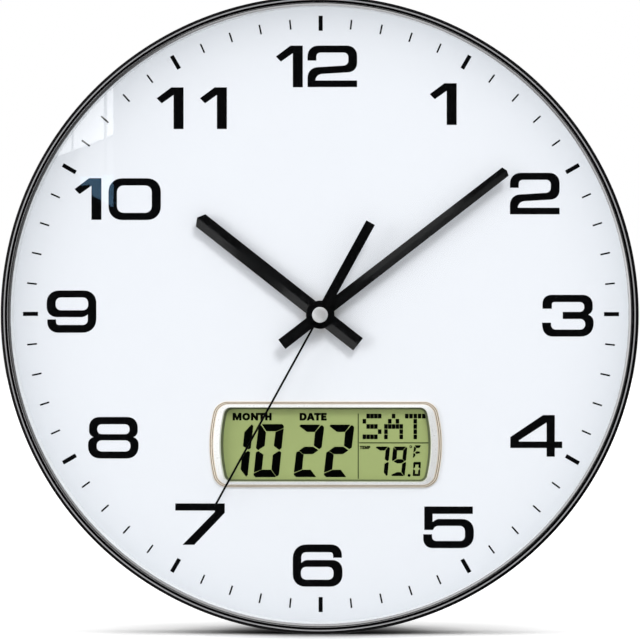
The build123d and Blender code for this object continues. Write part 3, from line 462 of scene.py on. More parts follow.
# %% Outline helper
def outline(loops, thickness, roundness=0.6, steps=7, spread=0.0):
    curve = bpy.data.curves.new("outline", "CURVE")
    curve.dimensions, curve.fill_mode = "2D", "BOTH"
    curve.extrude, curve.resolution_u, curve.offset = thickness / 2, steps, spread
    for loop in loops:
        knots = []
        for index, (px, py, corner) in enumerate(loop):
            here = Vector((px, py, 0))
            before = Vector((*loop[index - 1][:2], 0))
            after = Vector((*loop[(index + 1) % len(loop)][:2], 0))
            if not corner:
                knots.append((here, here, here, "VECTOR", "VECTOR"))
                continue
            start = here + (before - here).normalized() * corner
            end = here + (after - here).normalized() * corner
            knots.append((start, start, start.lerp(here, roundness), "VECTOR", "FREE"))
            knots.append((end, end.lerp(here, roundness), end, "FREE", "VECTOR"))
        spline = curve.splines.new("BEZIER")
        spline.bezier_points.add(len(knots) - 1)
        spline.use_cyclic_u = True
        for point, (co, left, right, left_type, right_type) in zip(spline.bezier_points, knots):
            point.co, point.handle_left, point.handle_right = co, left, right
            point.handle_left_type, point.handle_right_type = left_type, right_type
    return curve


def add_flat(bm, curve, place):
    holder = bpy.data.objects.new("flat", curve)
    bpy.context.scene.collection.objects.link(holder)
    seen = holder.evaluated_get(bpy.context.evaluated_depsgraph_get())
    mesh = bpy.data.meshes.new_from_object(seen)
    mesh.transform(place)
    bm.from_mesh(mesh)
    bpy.data.objects.remove(holder)
    bpy.data.curves.remove(curve)
    bpy.data.meshes.remove(mesh)


print("outline helpers ready")


# %% Digits
def sized(loops, wide, tall, left=0, low=0):
    least = min(wide, tall)
    return [
        [(left + px * wide, low + py * tall, sum(corner) * least) for px, py, *corner in loop]
        for loop in loops
    ]


def half_turn(loops, width, height):
    return [[(width - px, height - py, *corner) for px, py, *corner in loop] for loop in loops]


six = [[(49.2, 29), (49.2, 42.3, 11), (0, 42.3, 14), (0, 0, 12.5), (49.8, 0, 12.5), (49.8, 26.7, 10.5),
        (12, 26.7, 3), (8.6, 23.9), (8.6, 34.5, 5), (40.4, 34.5, 3), (40.4, 29)],
       [(8.2, 7, 5.5), (40.8, 7, 5.5), (40.8, 19.8, 5.5), (8.2, 19.8, 5.5)]]
digits = {
    "0": [[(0, 0, 14), (52.5, 0, 14), (52.5, 41.8, 14), (0, 41.8, 14)],
          [(8.5, 7.2, 7), (43.4, 7.2, 7), (43.4, 34.6, 7), (8.5, 34.6, 7)]],
    "1": [[(0, 30.8), (14.7, 41.7), (27, 41.7), (27, 0), (17, 0), (17, 34.1), (5.1, 25.7)]],
    "2": [[(0, 26.5), (0, 41.5, 11), (49.6, 41.5, 10.5), (49.6, 15.2, 9), (7.8, 12.8, 7), (7.8, 6.6),
           (49.6, 6.6), (49.6, 0), (0, 0), (0, 19.3, 10), (40.8, 21.8, 4.8), (40.8, 34.5, 4.8),
           (8.8, 34.5, 4.2), (8.8, 26.5)]],
    "3": [[(0.6, 27.8), (0.6, 41.7, 9), (50.8, 41.7, 10), (50.8, 23.8, 5), (46.4, 21.9), (51.7, 20, 5.5),
           (51.7, 0, 13), (1.8, 0, 9), (0, 13.9), (9, 13.9), (9.6, 7, 4.5), (43.3, 7, 5.3),
           (43.3, 17.6, 5.2), (20.8, 17.6), (20.8, 24.7), (42.3, 24.7, 4.6), (42.3, 34.5, 4.6),
           (10, 34.5, 2.5), (10, 27.8)]],
    "4": [[(0, 19.6), (32.7, 41.6), (44.5, 41.6), (44.5, 15.1), (51.9, 15.1), (51.9, 8.6), (44.5, 8.6),
           (44.5, 0), (36.3, 0), (36.3, 8.6), (0, 8.6)],
          [(36.3, 34.1), (36.3, 15.1), (8.6, 15.1), (8.6, 16.2)]],
    "5": [[(1, 41.7), (49.6, 41.7), (49.6, 34.3), (9.4, 34.3), (9.4, 26.1), (13.2, 29.2, 3),
           (50.6, 29.2, 12), (50.6, 0, 13), (0, 0, 9.5), (0, 13.9), (8.8, 13.9), (8.8, 7.2, 4.5),
           (41.7, 7.2, 5), (41.7, 22.3, 5.5), (12, 22.3, 3), (9.8, 18.2), (1, 18.2)]],
    "6": six,
    "7": [[(0, 41.5), (49.6, 41.5), (49.6, 32.1), (19, 0), (7.2, 0), (39.6, 33, 0.8), (39.6, 34.3),
           (0, 34.3)]],
    "8": [[(5.3, 21.4), (1, 23.6, 4), (1, 41.6, 10.5), (49.8, 41.6, 10.5), (49.8, 23.6, 4), (45.5, 21.4),
           (50.6, 19.2, 4.5), (50.6, 0, 12), (0, 0, 12), (0, 19.2, 4.5)],
          [(9.2, 24.4, 4.6), (41.6, 24.4, 4.6), (41.6, 34.3, 4.6), (9.2, 34.3, 4.6)],
          [(8.6, 7, 5.3), (42.5, 7, 5.3), (42.5, 18.2, 5.3), (8.6, 18.2, 5.3)]],
    "9": half_turn(six, 49.8, 42.3),
}
print("digits drawn", len(digits))

# %% [markdown]
# Each number is placed by the lower left corner of its digits, in millimetres from the hands' axis, because
# wide numbers look centred on their hour only when they are placed one by one.

# %% Numbers on the dial
number_places = {
    12: [("1", -21.2, 107.1), ("2", -6.2, 107.2)], 1: [("1", 51.5, 89.3)], 2: [("2", 89.4, 47.1)],
    3: [("3", 104.5, -10.6)], 4: [("4", 89.6, -67.3)], 5: [("5", 48.5, -110.6)], 6: [("6", -13.2, -128.9)],
    7: [("7", -68.8, -109.2)], 8: [("8", -110.1, -68.4)], 9: [("9", -129.7, -8.9)],
    10: [("1", -116.5, 44.5), ("0", -100.4, 44.4)], 11: [("1", -77.6, 87.4), ("1", -57.1, 87.4)],
}
unit = 0.4725
bm = bmesh.new()
for glyphs in number_places.values():
    for glyph, left, low in glyphs:
        place = facing_out(left, low + print_up, dial_front + ink_height / 2)
        add_flat(bm, outline(sized(digits[glyph], unit, unit), ink_height), place)
piece(bm, "dial_numbers", "case", [ink_black])

# %% [markdown]
# ## Hands
# The hour and minute hands are pressed from strip with a ridge along the middle, so that each side mirrors
# another part of the room, and lacquered gloss black. A cube becomes such a bar: cut along the middle,
# ridge lifted, tip drawn to a blunt point, and its edges softened so that they show a thin line of light.

# %% Lacquer
lacquer = Finish("hand_gloss_lacquer")
peel, dust = lacquer.noise(420, 3), lacquer.noise(60, 4)
hand_black = lacquer.surface(
    Base_Color=lacquer.mix(dust, (0.002, 0.002, 0.0022), (0.0045, 0.0045, 0.0048)),
    Roughness=dust * 0.02 + 0.02,
    Normal=lacquer.bump(peel, 0.00003, 0.12),
    Specular_IOR_Level=0.45,
)
print("lacquer", hand_black.name)

# %% Hand helpers
EDGE, RIDGE = 0.5, 1.3


def along(bearing):
    return Matrix.Rotation(radians(bearing), 4, "Y")


def box_between(bm, left, right, low, high, back, front):
    made = bmesh.ops.create_cube(bm, size=1)["verts"]
    bmesh.ops.scale(bm, vec=((right - left) * MM, (front - back) * MM, (high - low) * MM), verts=made)
    bmesh.ops.translate(bm, vec=spot((left + right) / 2, (low + high) / 2, (back + front) / 2), verts=made)
    return made


def disc(bm, radius, back, front, segments=64):
    wide, deep = radius * MM, (front - back) * MM
    made = bmesh.ops.create_cone(
        bm, cap_ends=True, segments=segments, radius1=wide, radius2=wide, depth=deep
    )["verts"]
    bmesh.ops.rotate(bm, cent=(0, 0, 0), matrix=Matrix.Rotation(pi / 2, 3, "X"), verts=made)
    bmesh.ops.translate(bm, vec=spot(0, 0, (back + front) / 2), verts=made)
    return made


def ridged_bar(length, tail, tip_width, tail_width, point, seat):
    bm = bmesh.new()
    bar = box_between(bm, -tail_width / 2, tail_width / 2, -tail, length, seat, seat + EDGE)
    for vert in bar:
        if vert.co.z > 0:
            vert.co.x *= tip_width / tail_width
    bmesh.ops.bisect_plane(
        bm, geom=bm.verts[:] + bm.edges[:] + bm.faces[:], plane_co=(0, 0, 0), plane_no=(1, 0, 0)
    )
    for vert in bm.verts:
        on_ridge = abs(vert.co.x) < 1e-6
        if on_ridge and vert.co.y < -(seat + EDGE / 2) * MM:
            vert.co.y = -(seat + RIDGE) * MM
        if not on_ridge and vert.co.z > 0:
            vert.co.z -= point * MM
    soften(bm, [edge for edge in bm.edges if edge.calc_face_angle(0) > 0.1], 0.09, 2)
    return bm


def hub(bm, radius, back, front):
    verts = disc(bm, radius, back, front, segments=96)
    rims = [edge for edge in {e for v in verts for e in v.link_edges} if edge.calc_face_angle(0) > 1]
    soften(bm, rims, 0.12, 2)


hour_seat = -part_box("hour_hand")[1].y / MM
minute_seat = -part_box("minute_hand")[1].y / MM
print("seats", round(hour_seat, 2), round(minute_seat, 2))

# %% Hour and minute hands
hub_radius, hub_thick = 6.7, 1.0
hour_bearing, minute_bearing, second_bearing = 308.2, 52.3, 208.8
bm = ridged_bar(length=74.2, tail=22.7, tip_width=7.4, tail_width=7.4, point=2.2, seat=hour_seat)
hub(bm, hub_radius, hour_seat, hour_seat + hub_thick)
bmesh.ops.transform(bm, matrix=along(hour_bearing), verts=bm.verts)
piece(bm, "hour_bar", "hours", [hand_black], ["hour_hand"], crisp=8)

bm = ridged_bar(length=111.4, tail=22.9, tip_width=5.0, tail_width=5.6, point=1.0, seat=minute_seat)
hub(bm, hub_radius, minute_seat, minute_seat + hub_thick)
bmesh.ops.transform(bm, matrix=along(minute_bearing), verts=bm.verts)
piece(bm, "minute_bar", "minutes", [hand_black], ["minute_hand"], crisp=8)

# %% [markdown]
# The second hand is a thin strip whose tail is broad enough to balance it. It is pressed on a pipe, and a
# turned cap hides the pipe. The cap's tiny lathe rings are a wave over the distance from the axis.

# %% Second hand and cap
second_back = -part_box("second_hand")[1].y / MM
blade, thick = second_back + 0.5, 0.5
needle_half, needle_length = 0.5, 103.0
tail_half, tail_length = 2.32, 49.6
pipe_radius, pipe_proud = 1.3, 1.2
bm = bmesh.new()
box_between(bm, -needle_half, needle_half, 0, needle_length, blade, blade + thick)
box_between(bm, -tail_half, tail_half, -tail_length, 0, blade, blade + thick)
soften(bm, [edge for edge in bm.edges if edge.calc_face_angle(0) > 1], 0.07, 2)
disc(bm, tail_half, blade, blade + thick)
disc(bm, pipe_radius, second_back, blade + thick + pipe_proud)
bmesh.ops.transform(bm, matrix=along(second_bearing), verts=bm.verts)
piece(bm, "second_needle", "seconds", [hand_black], ["second_hand"], crisp=8)

cap = Finish("cap_turned_silver")
lathe_rings = 52000.0
cap_silver = cap.surface(
    Base_Color=cap.mix(cap.noise(900, 3), (0.74, 0.745, 0.75), (0.84, 0.845, 0.85)),
    Roughness=cap.noise(500, 3) * 0.15 + 0.28,
    Metallic=0.5,
    Normal=cap.bump((cap.from_axis() * lathe_rings).wave(), 0.00001, 0.4),
)
cap_back, cap_top = -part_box("second_cap")[1].y / MM, -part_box("second_cap")[0].y / MM
cap_section = [
    (0, cap_back), (3.7, cap_back), (3.7, cap_top - 0.75), (2.8, cap_top - 0.35), (1.5, cap_top - 0.08),
    (0, cap_top),
]
bm = turned(cap_section, 96, closed=False)
soften(bm, ring(bm, *cap_section[2]), 0.4, 5)
piece(bm, "hub_cap", "seconds", [cap_silver], ["second_cap"], crisp=50)

# %% [markdown]
# ## Display frame
# The frame's long sides are straight and its short ends bow outwards. Loops of that outline, each at its own
# size and depth, are bridged one after the other, so the section can be read down the list: a pale gold wall
# and step with two bronze lines, the broad pearl face, and the slope down to the glass, coloured dark green
# as painted shade for the shadow along the display's recessed edge. Only the pearl has a shimmer of its own;
# the other finishes are two fine noises each, so one function makes them. Frame and figures are drawn a fifth
# of a millimetre above the model's frame, where they stand on the real clock.

# %% Frame finishes
pearl = Finish("frame_pearl_white")
shimmer = pearl.noise(1500, 3)
frame_pearl = pearl.surface(
    Base_Color=pearl.mix(shimmer, (0.96, 0.955, 0.94), (0.99, 0.985, 0.97)),
    Roughness=shimmer * 0.15 + 0.22,
    Metallic=0.28,
    Coat_Weight=0.3,
)


def fine(name, dark, pale, colour_grain, gloss_grain, spread, rough, **sockets):
    made = Finish(name)
    return made.surface(
        Base_Color=made.mix(made.noise(colour_grain, 2), dark, pale),
        Roughness=made.noise(gloss_grain, 2) * spread + rough,
        **sockets,
    )


frame_gold = fine(
    "frame_pale_gold", (0.80, 0.70, 0.57), (0.90, 0.80, 0.67), 1200, 700, 0.1, 0.25, Metallic=0.15
)
frame_bronze = fine("frame_bronze_line", (0.11, 0.075, 0.045), (0.16, 0.115, 0.075), 1200, 700, 0.1, 0.3)
# The slope's dark green is painted shade: it stands for the shadow along the display's recessed edge.
frame_painted_shade = fine("frame_slope_painted_shade", (0.10, 0.12, 0.06), (0.14, 0.16, 0.09), 800, 800, 0.2, 0.4)
print("frame finishes", [made.name for made in (frame_pearl, frame_gold, frame_bronze, frame_painted_shade)])

# %% Frame
frame_low, frame_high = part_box("lcd_frame")
lcd_x = (frame_low.x + frame_high.x) / 2 / MM
frame_up = 0.2
lcd_z = (frame_low.z + frame_high.z) / 2 / MM + frame_up
frame_w, frame_h = (frame_high.x - frame_low.x) / MM, (frame_high.z - frame_low.z) / MM
side_border, top_border = 5.4, 2.9
outer_bulge, outer_rounding = 3.3, 5.0
bulge_loss, rounding_loss = 0.9, 2.5


def bowed_loop(bm, side, top, rise):
    share = side / side_border
    bulge, rounding = outer_bulge - bulge_loss * share, outer_rounding - rounding_loss * share
    width, height = frame_w - 2 * side, frame_h - 2 * top
    loop = bmesh.new()
    bmesh.ops.create_grid(loop, x_segments=1, y_segments=1, size=0.5)
    bmesh.ops.delete(loop, geom=loop.faces[:], context="FACES_ONLY")
    bmesh.ops.scale(loop, vec=(width - 2 * bulge, height, 1), verts=loop.verts)
    bmesh.ops.bevel(
        loop, geom=loop.verts[:], offset=rounding, offset_type="OFFSET", segments=8, profile=0.5,
        affect="VERTICES", clamp_overlap=True, material=-1,
    )
    ends = [edge for edge in loop.edges if abs(edge.verts[0].co.x - edge.verts[1].co.x) < 1e-5]
    bmesh.ops.subdivide_edges(loop, edges=ends, cuts=15)
    for vert in loop.verts:
        vert.co.x += copysign(bulge * (1 - (2 * vert.co.y / height) ** 2), vert.co.x)
    bmesh.ops.transform(loop, matrix=facing_out(lcd_x, lcd_z, dial_front + rise), verts=loop.verts)
    flat = bpy.data.meshes.new("loop")
    loop.to_mesh(flat)
    loop.free()
    known = set(bm.edges)
    bm.from_mesh(flat)
    bpy.data.meshes.remove(flat)
    return [edge for edge in bm.edges if edge not in known]


PEARL, GOLD, BRONZE, PAINTED_SHADE_SLOPE = range(4)
frame_steps = [
    (0, 0, 0, GOLD), (0, 0, 0.7, GOLD), (0.3, 0.25, 1.05, BRONZE), (0.6, 0.5, 1.12, GOLD),
    (1.15, 0.85, 1.22, BRONZE), (1.45, 1.1, 1.28, GOLD), (1.9, 1.35, 1.45, PEARL), (4.8, 2.55, 2.9, PEARL),
    (5.0, 2.7, 2.85, PEARL), (side_border, top_border, 1.5, PAINTED_SHADE_SLOPE), (6.5, 3.7, lcd_front - dial_front, PAINTED_SHADE_SLOPE),
]
bm = bmesh.new()
rims = [bowed_loop(bm, *step[:3]) for step in frame_steps]
for (outer, inner), step in zip(zip(rims, rims[1:]), frame_steps):
    for face in bmesh.ops.bridge_loops(bm, edges=outer + inner)["faces"]:
        face.material_index = step[3]
frame_finishes = [frame_pearl, frame_gold, frame_bronze, frame_painted_shade]
piece(bm, "display_frame", "case", frame_finishes, ["lcd_frame"], crisp=25)

# %% [markdown]
# ## Display
# A reflective display is a pane over a dull green mirror. Its dark parts are the segments that are switched
# on, so they are thin shapes on the pane, never light. Figures lean a little, and each of their bars is a
# small outline whose mitred ends leave hairline gaps, given in millimetres from the display's middle.

# %% Display finishes
green = Finish("display_grey_green")
grain, drift = green.noise(3500, 2), green.noise(18, 3)
lcd_green = green.surface(
    Base_Color=green.mix(grain * 0.5 + drift * 0.5, (0.345, 0.415, 0.160), (0.385, 0.455, 0.182)),
    Roughness=grain * 0.1 + 0.35,
    Coat_Weight=0.2,
    Specular_IOR_Level=0.2,
)
dress(lcd_green, "lcd_front_glass", "lcd_back_glass")
segment_dark = fine(
    "display_segment_dark", (0.0004, 0.0006, 0.0004), (0.0012, 0.0016, 0.0008), 2500, 900, 0.1, 0.4,
    Specular_IOR_Level=0.0,
)
line_olive = fine(
    "display_line_olive", (0.035, 0.05, 0.015), (0.06, 0.08, 0.03), 2500, 900, 0.1, 0.4,
    Specular_IOR_Level=0.1,
)
print("display finishes", lcd_green.name, segment_dark.name, line_olive.name)

# %% Bars of the figures
figures = {
    "month_1": [
        [(-35.1, 9.3), (-34.4, 8.7), (-35.6, -1.8), (-36.6, -2.3), (-39.1, -0.8), (-38.4, 5.7)],
        [(-36.8, -3.2), (-35.9, -3.8), (-37.0, -14.3), (-37.7, -15.2), (-40.2, -11.8), (-39.5, -5.0)]],
    "month_0": [
        [(-30.1, 9.45), (-20.7, 9.5), (-19.9, 8.6), (-20.0, 7.8), (-23.45, 6.3), (-28.05, 6.3)],
        [(-31.6, 8.65), (-30.7, 9.0), (-28.4, 5.65), (-29.0, -0.6), (-32.0, -2.6), (-32.95, -1.8)],
        [(-20.0, 7.4), (-21.0, -1.7), (-22.0, -2.5), (-24.5, -0.65), (-23.7, 5.75)],
        [(-32.95, -3.9), (-31.9, -3.3), (-29.6, -4.95), (-30.35, -11.8), (-33.95, -13.2)],
        [(-22.05, -3.2), (-21.15, -3.8), (-22.2, -14.0), (-22.7, -14.8), (-23.35, -15.0), (-25.6, -11.9),
         (-24.95, -5.0)],
        [(-30.25, -12.1), (-26.0, -12.1), (-23.7, -15.15), (-24.1, -15.4), (-33.3, -15.45), (-34.05, -14.5),
         (-34.05, -13.8)]],
    "date_2": [
        [(-12.4, 8.65), (-11.8, 9.25), (-2.8, 9.25), (-5.2, 6.0), (-8.85, 6.0)],
        [(-2.2, 8.9), (-1.6, 8.9), (-0.9, 8.05), (-2.05, -1.4), (-3.15, -2.1), (-5.55, -0.55), (-5.0, 5.65)],
        [(-10.05, -1.2), (-6.0, -1.2), (-3.65, -2.75), (-6.2, -4.5), (-10.5, -4.5), (-12.6, -3.05)],
        [(-13.9, -3.9), (-12.85, -3.3), (-10.6, -4.85), (-11.3, -11.75), (-15.0, -13.2)],
        [(-11.0, -12.1), (-7.2, -12.1), (-4.75, -15.35), (-14.05, -15.35), (-15.05, -14.3), (-15.05, -13.8)]],
    "heat_7": [
        [(23.7, -1.35), (24.3, -1.1), (29.2, -1.1), (27.85, -2.7), (25.7, -2.75)],
        [(29.6, -1.25), (30.2, -1.7), (29.7, -7.25), (29.2, -7.75), (28.0, -7.0), (28.4, -2.8)],
        [(29.4, -8.35), (29.65, -8.65), (29.1, -14.3), (28.7, -14.75), (27.5, -13.15), (27.9, -9.25)]],
    "heat_9": [
        [(32.3, -1.1), (37.7, -1.1), (36.45, -2.7), (33.65, -2.7)],
        [(32.0, -1.55), (33.65, -3.0), (33.4, -6.6), (31.65, -7.75), (31.4, -7.25)],
        [(38.0, -1.35), (38.4, -1.75), (37.85, -7.3), (37.35, -7.75), (36.35, -6.8), (36.75, -2.9)],
        [(33.65, -7.05), (36.05, -7.05), (37.05, -7.95), (35.8, -8.8), (33.7, -8.8), (32.2, -8.0)],
        [(37.65, -8.35), (37.85, -8.7), (37.25, -14.45), (36.95, -14.7), (35.8, -12.9), (36.2, -9.2)],
        [(31.05, -14.4), (33.65, -13.15), (35.35, -13.15), (36.65, -14.8), (31.35, -14.8)]],
    "tenth_0": [
        [(41.65, -8.35), (44.8, -8.35), (44.2, -9.4), (42.45, -9.4)],
        [(41.5, -8.65), (42.3, -9.5), (42.15, -10.75), (41.4, -11.3)],
        [(44.85, -8.6), (44.75, -11.3), (43.85, -10.75), (44.0, -9.5)],
        [(41.4, -11.8), (42.2, -12.3), (42.1, -13.7), (41.2, -14.6)],
        [(44.55, -11.65), (44.45, -14.6), (43.7, -13.7), (43.8, -12.3)],
        [(41.25, -14.8), (42.0, -14.0), (43.55, -14.0), (44.35, -14.8)]],
    "degree_f": [
        [(42.2, -0.45), (44.85, -0.45), (44.25, -1.55), (42.85, -1.55)],
        [(41.85, -1.05), (42.6, -1.7), (42.45, -2.85), (41.5, -3.65)],
        [(42.2, -3.85), (43.1, -3.3), (44.45, -3.5), (44.45, -4.05), (42.95, -4.35)],
        [(41.55, -4.1), (42.3, -4.5), (42.2, -5.4), (41.3, -6.2)]],
}
figures["date_2_again"] = [[(px + 14.24, py) for px, py in bar] for bar in figures["date_2"]]
drawn = [([[(px, py, 0.12) for px, py in bar]], 0.12) for bars in figures.values() for bar in bars]
print("bars", len(drawn))

# %% [markdown]
# The day of the week stands in a field of five by five dots. The small words are bold capitals, again drawn
# as outlines, ten units high, because a heavy grotesque letter is only straight strokes and a few curves.


# %% Dots
def block(left, low, width, height, corner=0.1):
    right, high = left + width, low + height
    return [[(left, low, corner), (right, low, corner), (right, high, corner), (left, high, corner)]]


field_top, row_step, dot_wide, dot_tall, dot_spread = 14.47, 2.45, 1.58, 2.1, 0.06


def dots(rows, left, step):
    return [
        (block(left + column * step, field_top - row * row_step - dot_tall, dot_wide, dot_tall), dot_spread)
        for row, line in enumerate(rows) for column, mark in enumerate(line) if mark == "#"
    ]


drawn += dots((".####", "#....", ".###.", "....#", "####."), 17.45, 1.81)
drawn += dots(("..#..", ".#.#.", "#####", "#...#", "#...#"), 27.65, 1.81)
drawn += dots(("#####", "..#..", "..#..", "..#..", "..#.."), 37.5, 2.01)
drawn.append((block(38.75, -15.25, 1.3, 1.3, 0.6), 0.05))
print("bars and dots", len(drawn))

# %% Words
letters = {
    "M": (12, [[(0, 0), (0, 10), (3.4, 10), (6, 3.6), (8.6, 10), (12, 10), (12, 0), (9.4, 0), (9.4, 6.2),
                (7, 0.4), (5, 0.4), (2.6, 6.2), (2.6, 0)]]),
    "O": (10.5, [[(0, 0, 5), (10.5, 0, 5), (10.5, 10, 5), (0, 10, 5)],
                 [(2.8, 2.2, 2.6), (7.7, 2.2, 2.6), (7.7, 7.8, 2.6), (2.8, 7.8, 2.6)]]),
    "N": (9.7, [[(0, 0), (0, 10), (2.7, 10), (7, 4), (7, 10), (9.7, 10), (9.7, 0), (7, 0), (2.7, 6),
                 (2.7, 0)]]),
    "T": (9.2, [[(3.2, 0), (3.2, 7.7), (0, 7.7), (0, 10), (9.2, 10), (9.2, 7.7), (6, 7.7), (6, 0)]]),
    "H": (8.8, [[(0, 0), (0, 10), (2.7, 10), (2.7, 6.2), (6.1, 6.2), (6.1, 10), (8.8, 10), (8.8, 0),
                 (6.1, 0), (6.1, 3.9), (2.7, 3.9), (2.7, 0)]]),
    "D": (9.3, [[(0, 0), (0, 10), (9.3, 10, 4.8), (9.3, 0, 4.8)],
                [(2.7, 2.2), (2.7, 7.8), (6.5, 7.8, 2.4), (6.5, 2.2, 2.4)]]),
    "A": (10.5, [[(0, 0), (3.8, 10), (6.7, 10), (10.5, 0), (7.7, 0), (7, 2), (3.5, 2), (2.8, 0)],
                 [(4.2, 4), (6.3, 4), (5.25, 7.3)]]),
    "E": (7.5, [[(0, 0), (0, 10), (7.5, 10), (7.5, 7.7), (2.7, 7.7), (2.7, 6.2), (6.8, 6.2), (6.8, 3.9),
                 (2.7, 3.9), (2.7, 2.3), (7.5, 2.3), (7.5, 0)]]),
    "P": (8.5, [[(0, 0), (0, 10), (8.5, 10, 3.4), (8.5, 3.4, 3), (2.7, 3.4), (2.7, 0)],
                [(2.7, 5.6), (2.7, 7.9), (5.9, 7.9, 1.1), (5.9, 5.6, 1.1)]]),
}


def word(spaced, low, height, spread):
    made = []
    for letter, left, width in spaced:
        full, loops = letters[letter]
        made.append((sized(loops, width / full, height / 10, left, low), spread))
    return made


month = [("M", -43.95, 3.95), ("O", -39.4, 3.5), ("N", -35.3, 3.15), ("T", -31.85, 3.0), ("H", -28.55, 2.8)]
date = [("D", -12.25, 3.1), ("A", -8.9, 3.5), ("T", -5.4, 2.95), ("E", -2.1, 2.4)]
heat = [("T", 16.1, 1.1), ("E", 17.35, 0.95), ("M", 18.5, 1.35), ("P", 20.05, 0.95)]
for spaced in (month, date):
    drawn += word(spaced, low=11.45, height=3.3, spread=0.14)
drawn += word(heat, low=-2.15, height=1.45, spread=0.06)
drawn.append((block(39.58, -1.67, 1.24, 1.24, 0.62) + block(39.9, -1.35, 0.6, 0.6, 0.3), 0.03))
lines = [block(15.1, -16.25, 0.5, 30.85, 0), block(15.8, 0.5, 33.7, 0.55, 0)]
print("dark shapes", len(drawn), "ruled lines", len(lines))

# %% Display on the pane
segment_height = 0.04
on_pane = facing_out(lcd_x, lcd_z, lcd_front + segment_height / 2)
bm = bmesh.new()
for shape, spread in drawn:
    add_flat(bm, outline(shape, segment_height, steps=4, spread=spread), on_pane)
known = len(bm.faces)
for shape in lines:
    add_flat(bm, outline(shape, segment_height), on_pane)
for face in bm.faces[known:]:
    face.material_index = 1
piece(bm, "display_figures", "case", [segment_dark, line_olive])

# %% [markdown]
# ## Moulded plastics behind the dial
# The hidden side is black moulded plastic with a spark-eroded texture: a fine random grain pressed into the
# mould. One function makes each such plastic, with its own colour and grain, because covers, buttons and
# movement cases differ only in those two.


# %% Moulded plastic
def moulded(name, dark, pale, grain_scale, depth, rough):
    made = Finish(name)
    grain, cloud = made.noise(grain_scale, 3, 0.6), made.noise(35, 4)
    return made.surface(
        Base_Color=made.mix(cloud * 0.6 + grain * 0.4, dark, pale),
        Roughness=grain * 0.18 + rough,
        Normal=made.bump(grain, depth, 0.6),
        Specular_IOR_Level=0.35,
    )


plastics = (
    ("cover_grained_black", (0.013, 0.013, 0.014), (0.026, 0.026, 0.027), 1100, 0.00006, 0.42,
     "back_cover battery_door"),
    ("carrier_grey", (0.03, 0.03, 0.033), (0.05, 0.05, 0.054), 600, 0.00003, 0.45,
     "dial_carrier lcd_housing"),
    ("movement_black", (0.016, 0.016, 0.018), (0.032, 0.032, 0.035), 1500, 0.00003, 0.33,
     "movement_front_case movement_back_case set_switches"),
    ("knob_grey", (0.10, 0.10, 0.105), (0.16, 0.16, 0.165), 900, 0.00003, 0.36,
     "setting_knob set_button_1 set_button_2 set_button_3 set_button_4"),
    ("gear_acetal", (0.74, 0.73, 0.69), (0.84, 0.83, 0.79), 500, 0.00001, 0.3,
     "intermediate_wheel seconds_wheel third_wheel centre_wheel motion_wheel hour_wheel"),
    ("seal_rubber", (0.01, 0.01, 0.01), (0.022, 0.022, 0.022), 700, 0.00003, 0.6,
     "glass_gasket zebra_strips"),
    ("driver_epoxy", (0.006, 0.006, 0.006), (0.014, 0.014, 0.014), 250, 0.00005, 0.12, "display_driver"),
    ("sensor_bead", (0.16, 0.07, 0.03), (0.26, 0.13, 0.06), 400, 0.00004, 0.25, "temperature_sensor"),
)
for *values, names in plastics:
    dress(moulded(*values), *names.split())
print("plastics", [values[0] for values in plastics])

# %% [markdown]
# ## Metals
# Metal parts are rolled, drawn or turned, and each leaves streaks in one direction. The noise is stretched
# along that direction, and it moves the roughness more than the colour, because that is what brushed metal
# does.


# %% Metals
def metal(name, dark, pale, stretch, rough, strength):
    made = Finish(name)
    streak, cloud = made.noise(260, 4, 0.6, stretch), made.noise(70, 3)
    return made.surface(
        Base_Color=made.mix(streak * 0.5 + cloud * 0.5, dark, pale),
        Roughness=streak * 0.22 + rough,
        Metallic=1.0,
        Normal=made.bump(streak, 0.00002, strength),
    )


metals = (
    ("plated_steel", (0.46, 0.46, 0.47), (0.62, 0.62, 0.63), (1, 1, 6), 0.24, 0.4,
     "case_screws board_screws module_screws"),
    ("nickel_strip", (0.60, 0.59, 0.55), (0.74, 0.73, 0.69), (1, 6, 1), 0.2, 0.4,
     "cell_contacts display_cell_contacts"),
    ("soft_iron_sheet", (0.34, 0.34, 0.35), (0.48, 0.48, 0.49), (8, 1, 1), 0.32, 0.4, "stator coil_core"),
    ("turned_brass", (0.62, 0.43, 0.16), (0.78, 0.58, 0.27), (1, 8, 1), 0.2, 0.4, "fixing_washer fixing_nut"),
    ("drawn_can", (0.60, 0.60, 0.62), (0.76, 0.76, 0.78), (1, 8, 8), 0.18, 0.4, "quartz_can"),
    ("sintered_magnet", (0.14, 0.14, 0.15), (0.22, 0.22, 0.23), (1, 1, 1), 0.4, 0.8, "rotor"),
    ("display_mirror_film", (0.40, 0.45, 0.28), (0.52, 0.57, 0.38), (1, 1, 1), 0.3, 0.4, "lcd_reflector"),
)
for *values, names in metals:
    dress(metal(*values), *names.split())
print("metals", [values[0] for values in metals])

# %% [markdown]
# ## Screw slots and door grips
# A cover screw has a cross pressed into its head, and the battery door has ridges for a fingertip. Both are
# too small to matter to the solids, so they are laid on here: dark crosses set into the heads, their darkness
# painted shade for the recess, each turned as its screw happened to stop, and low rounded bars on the door.

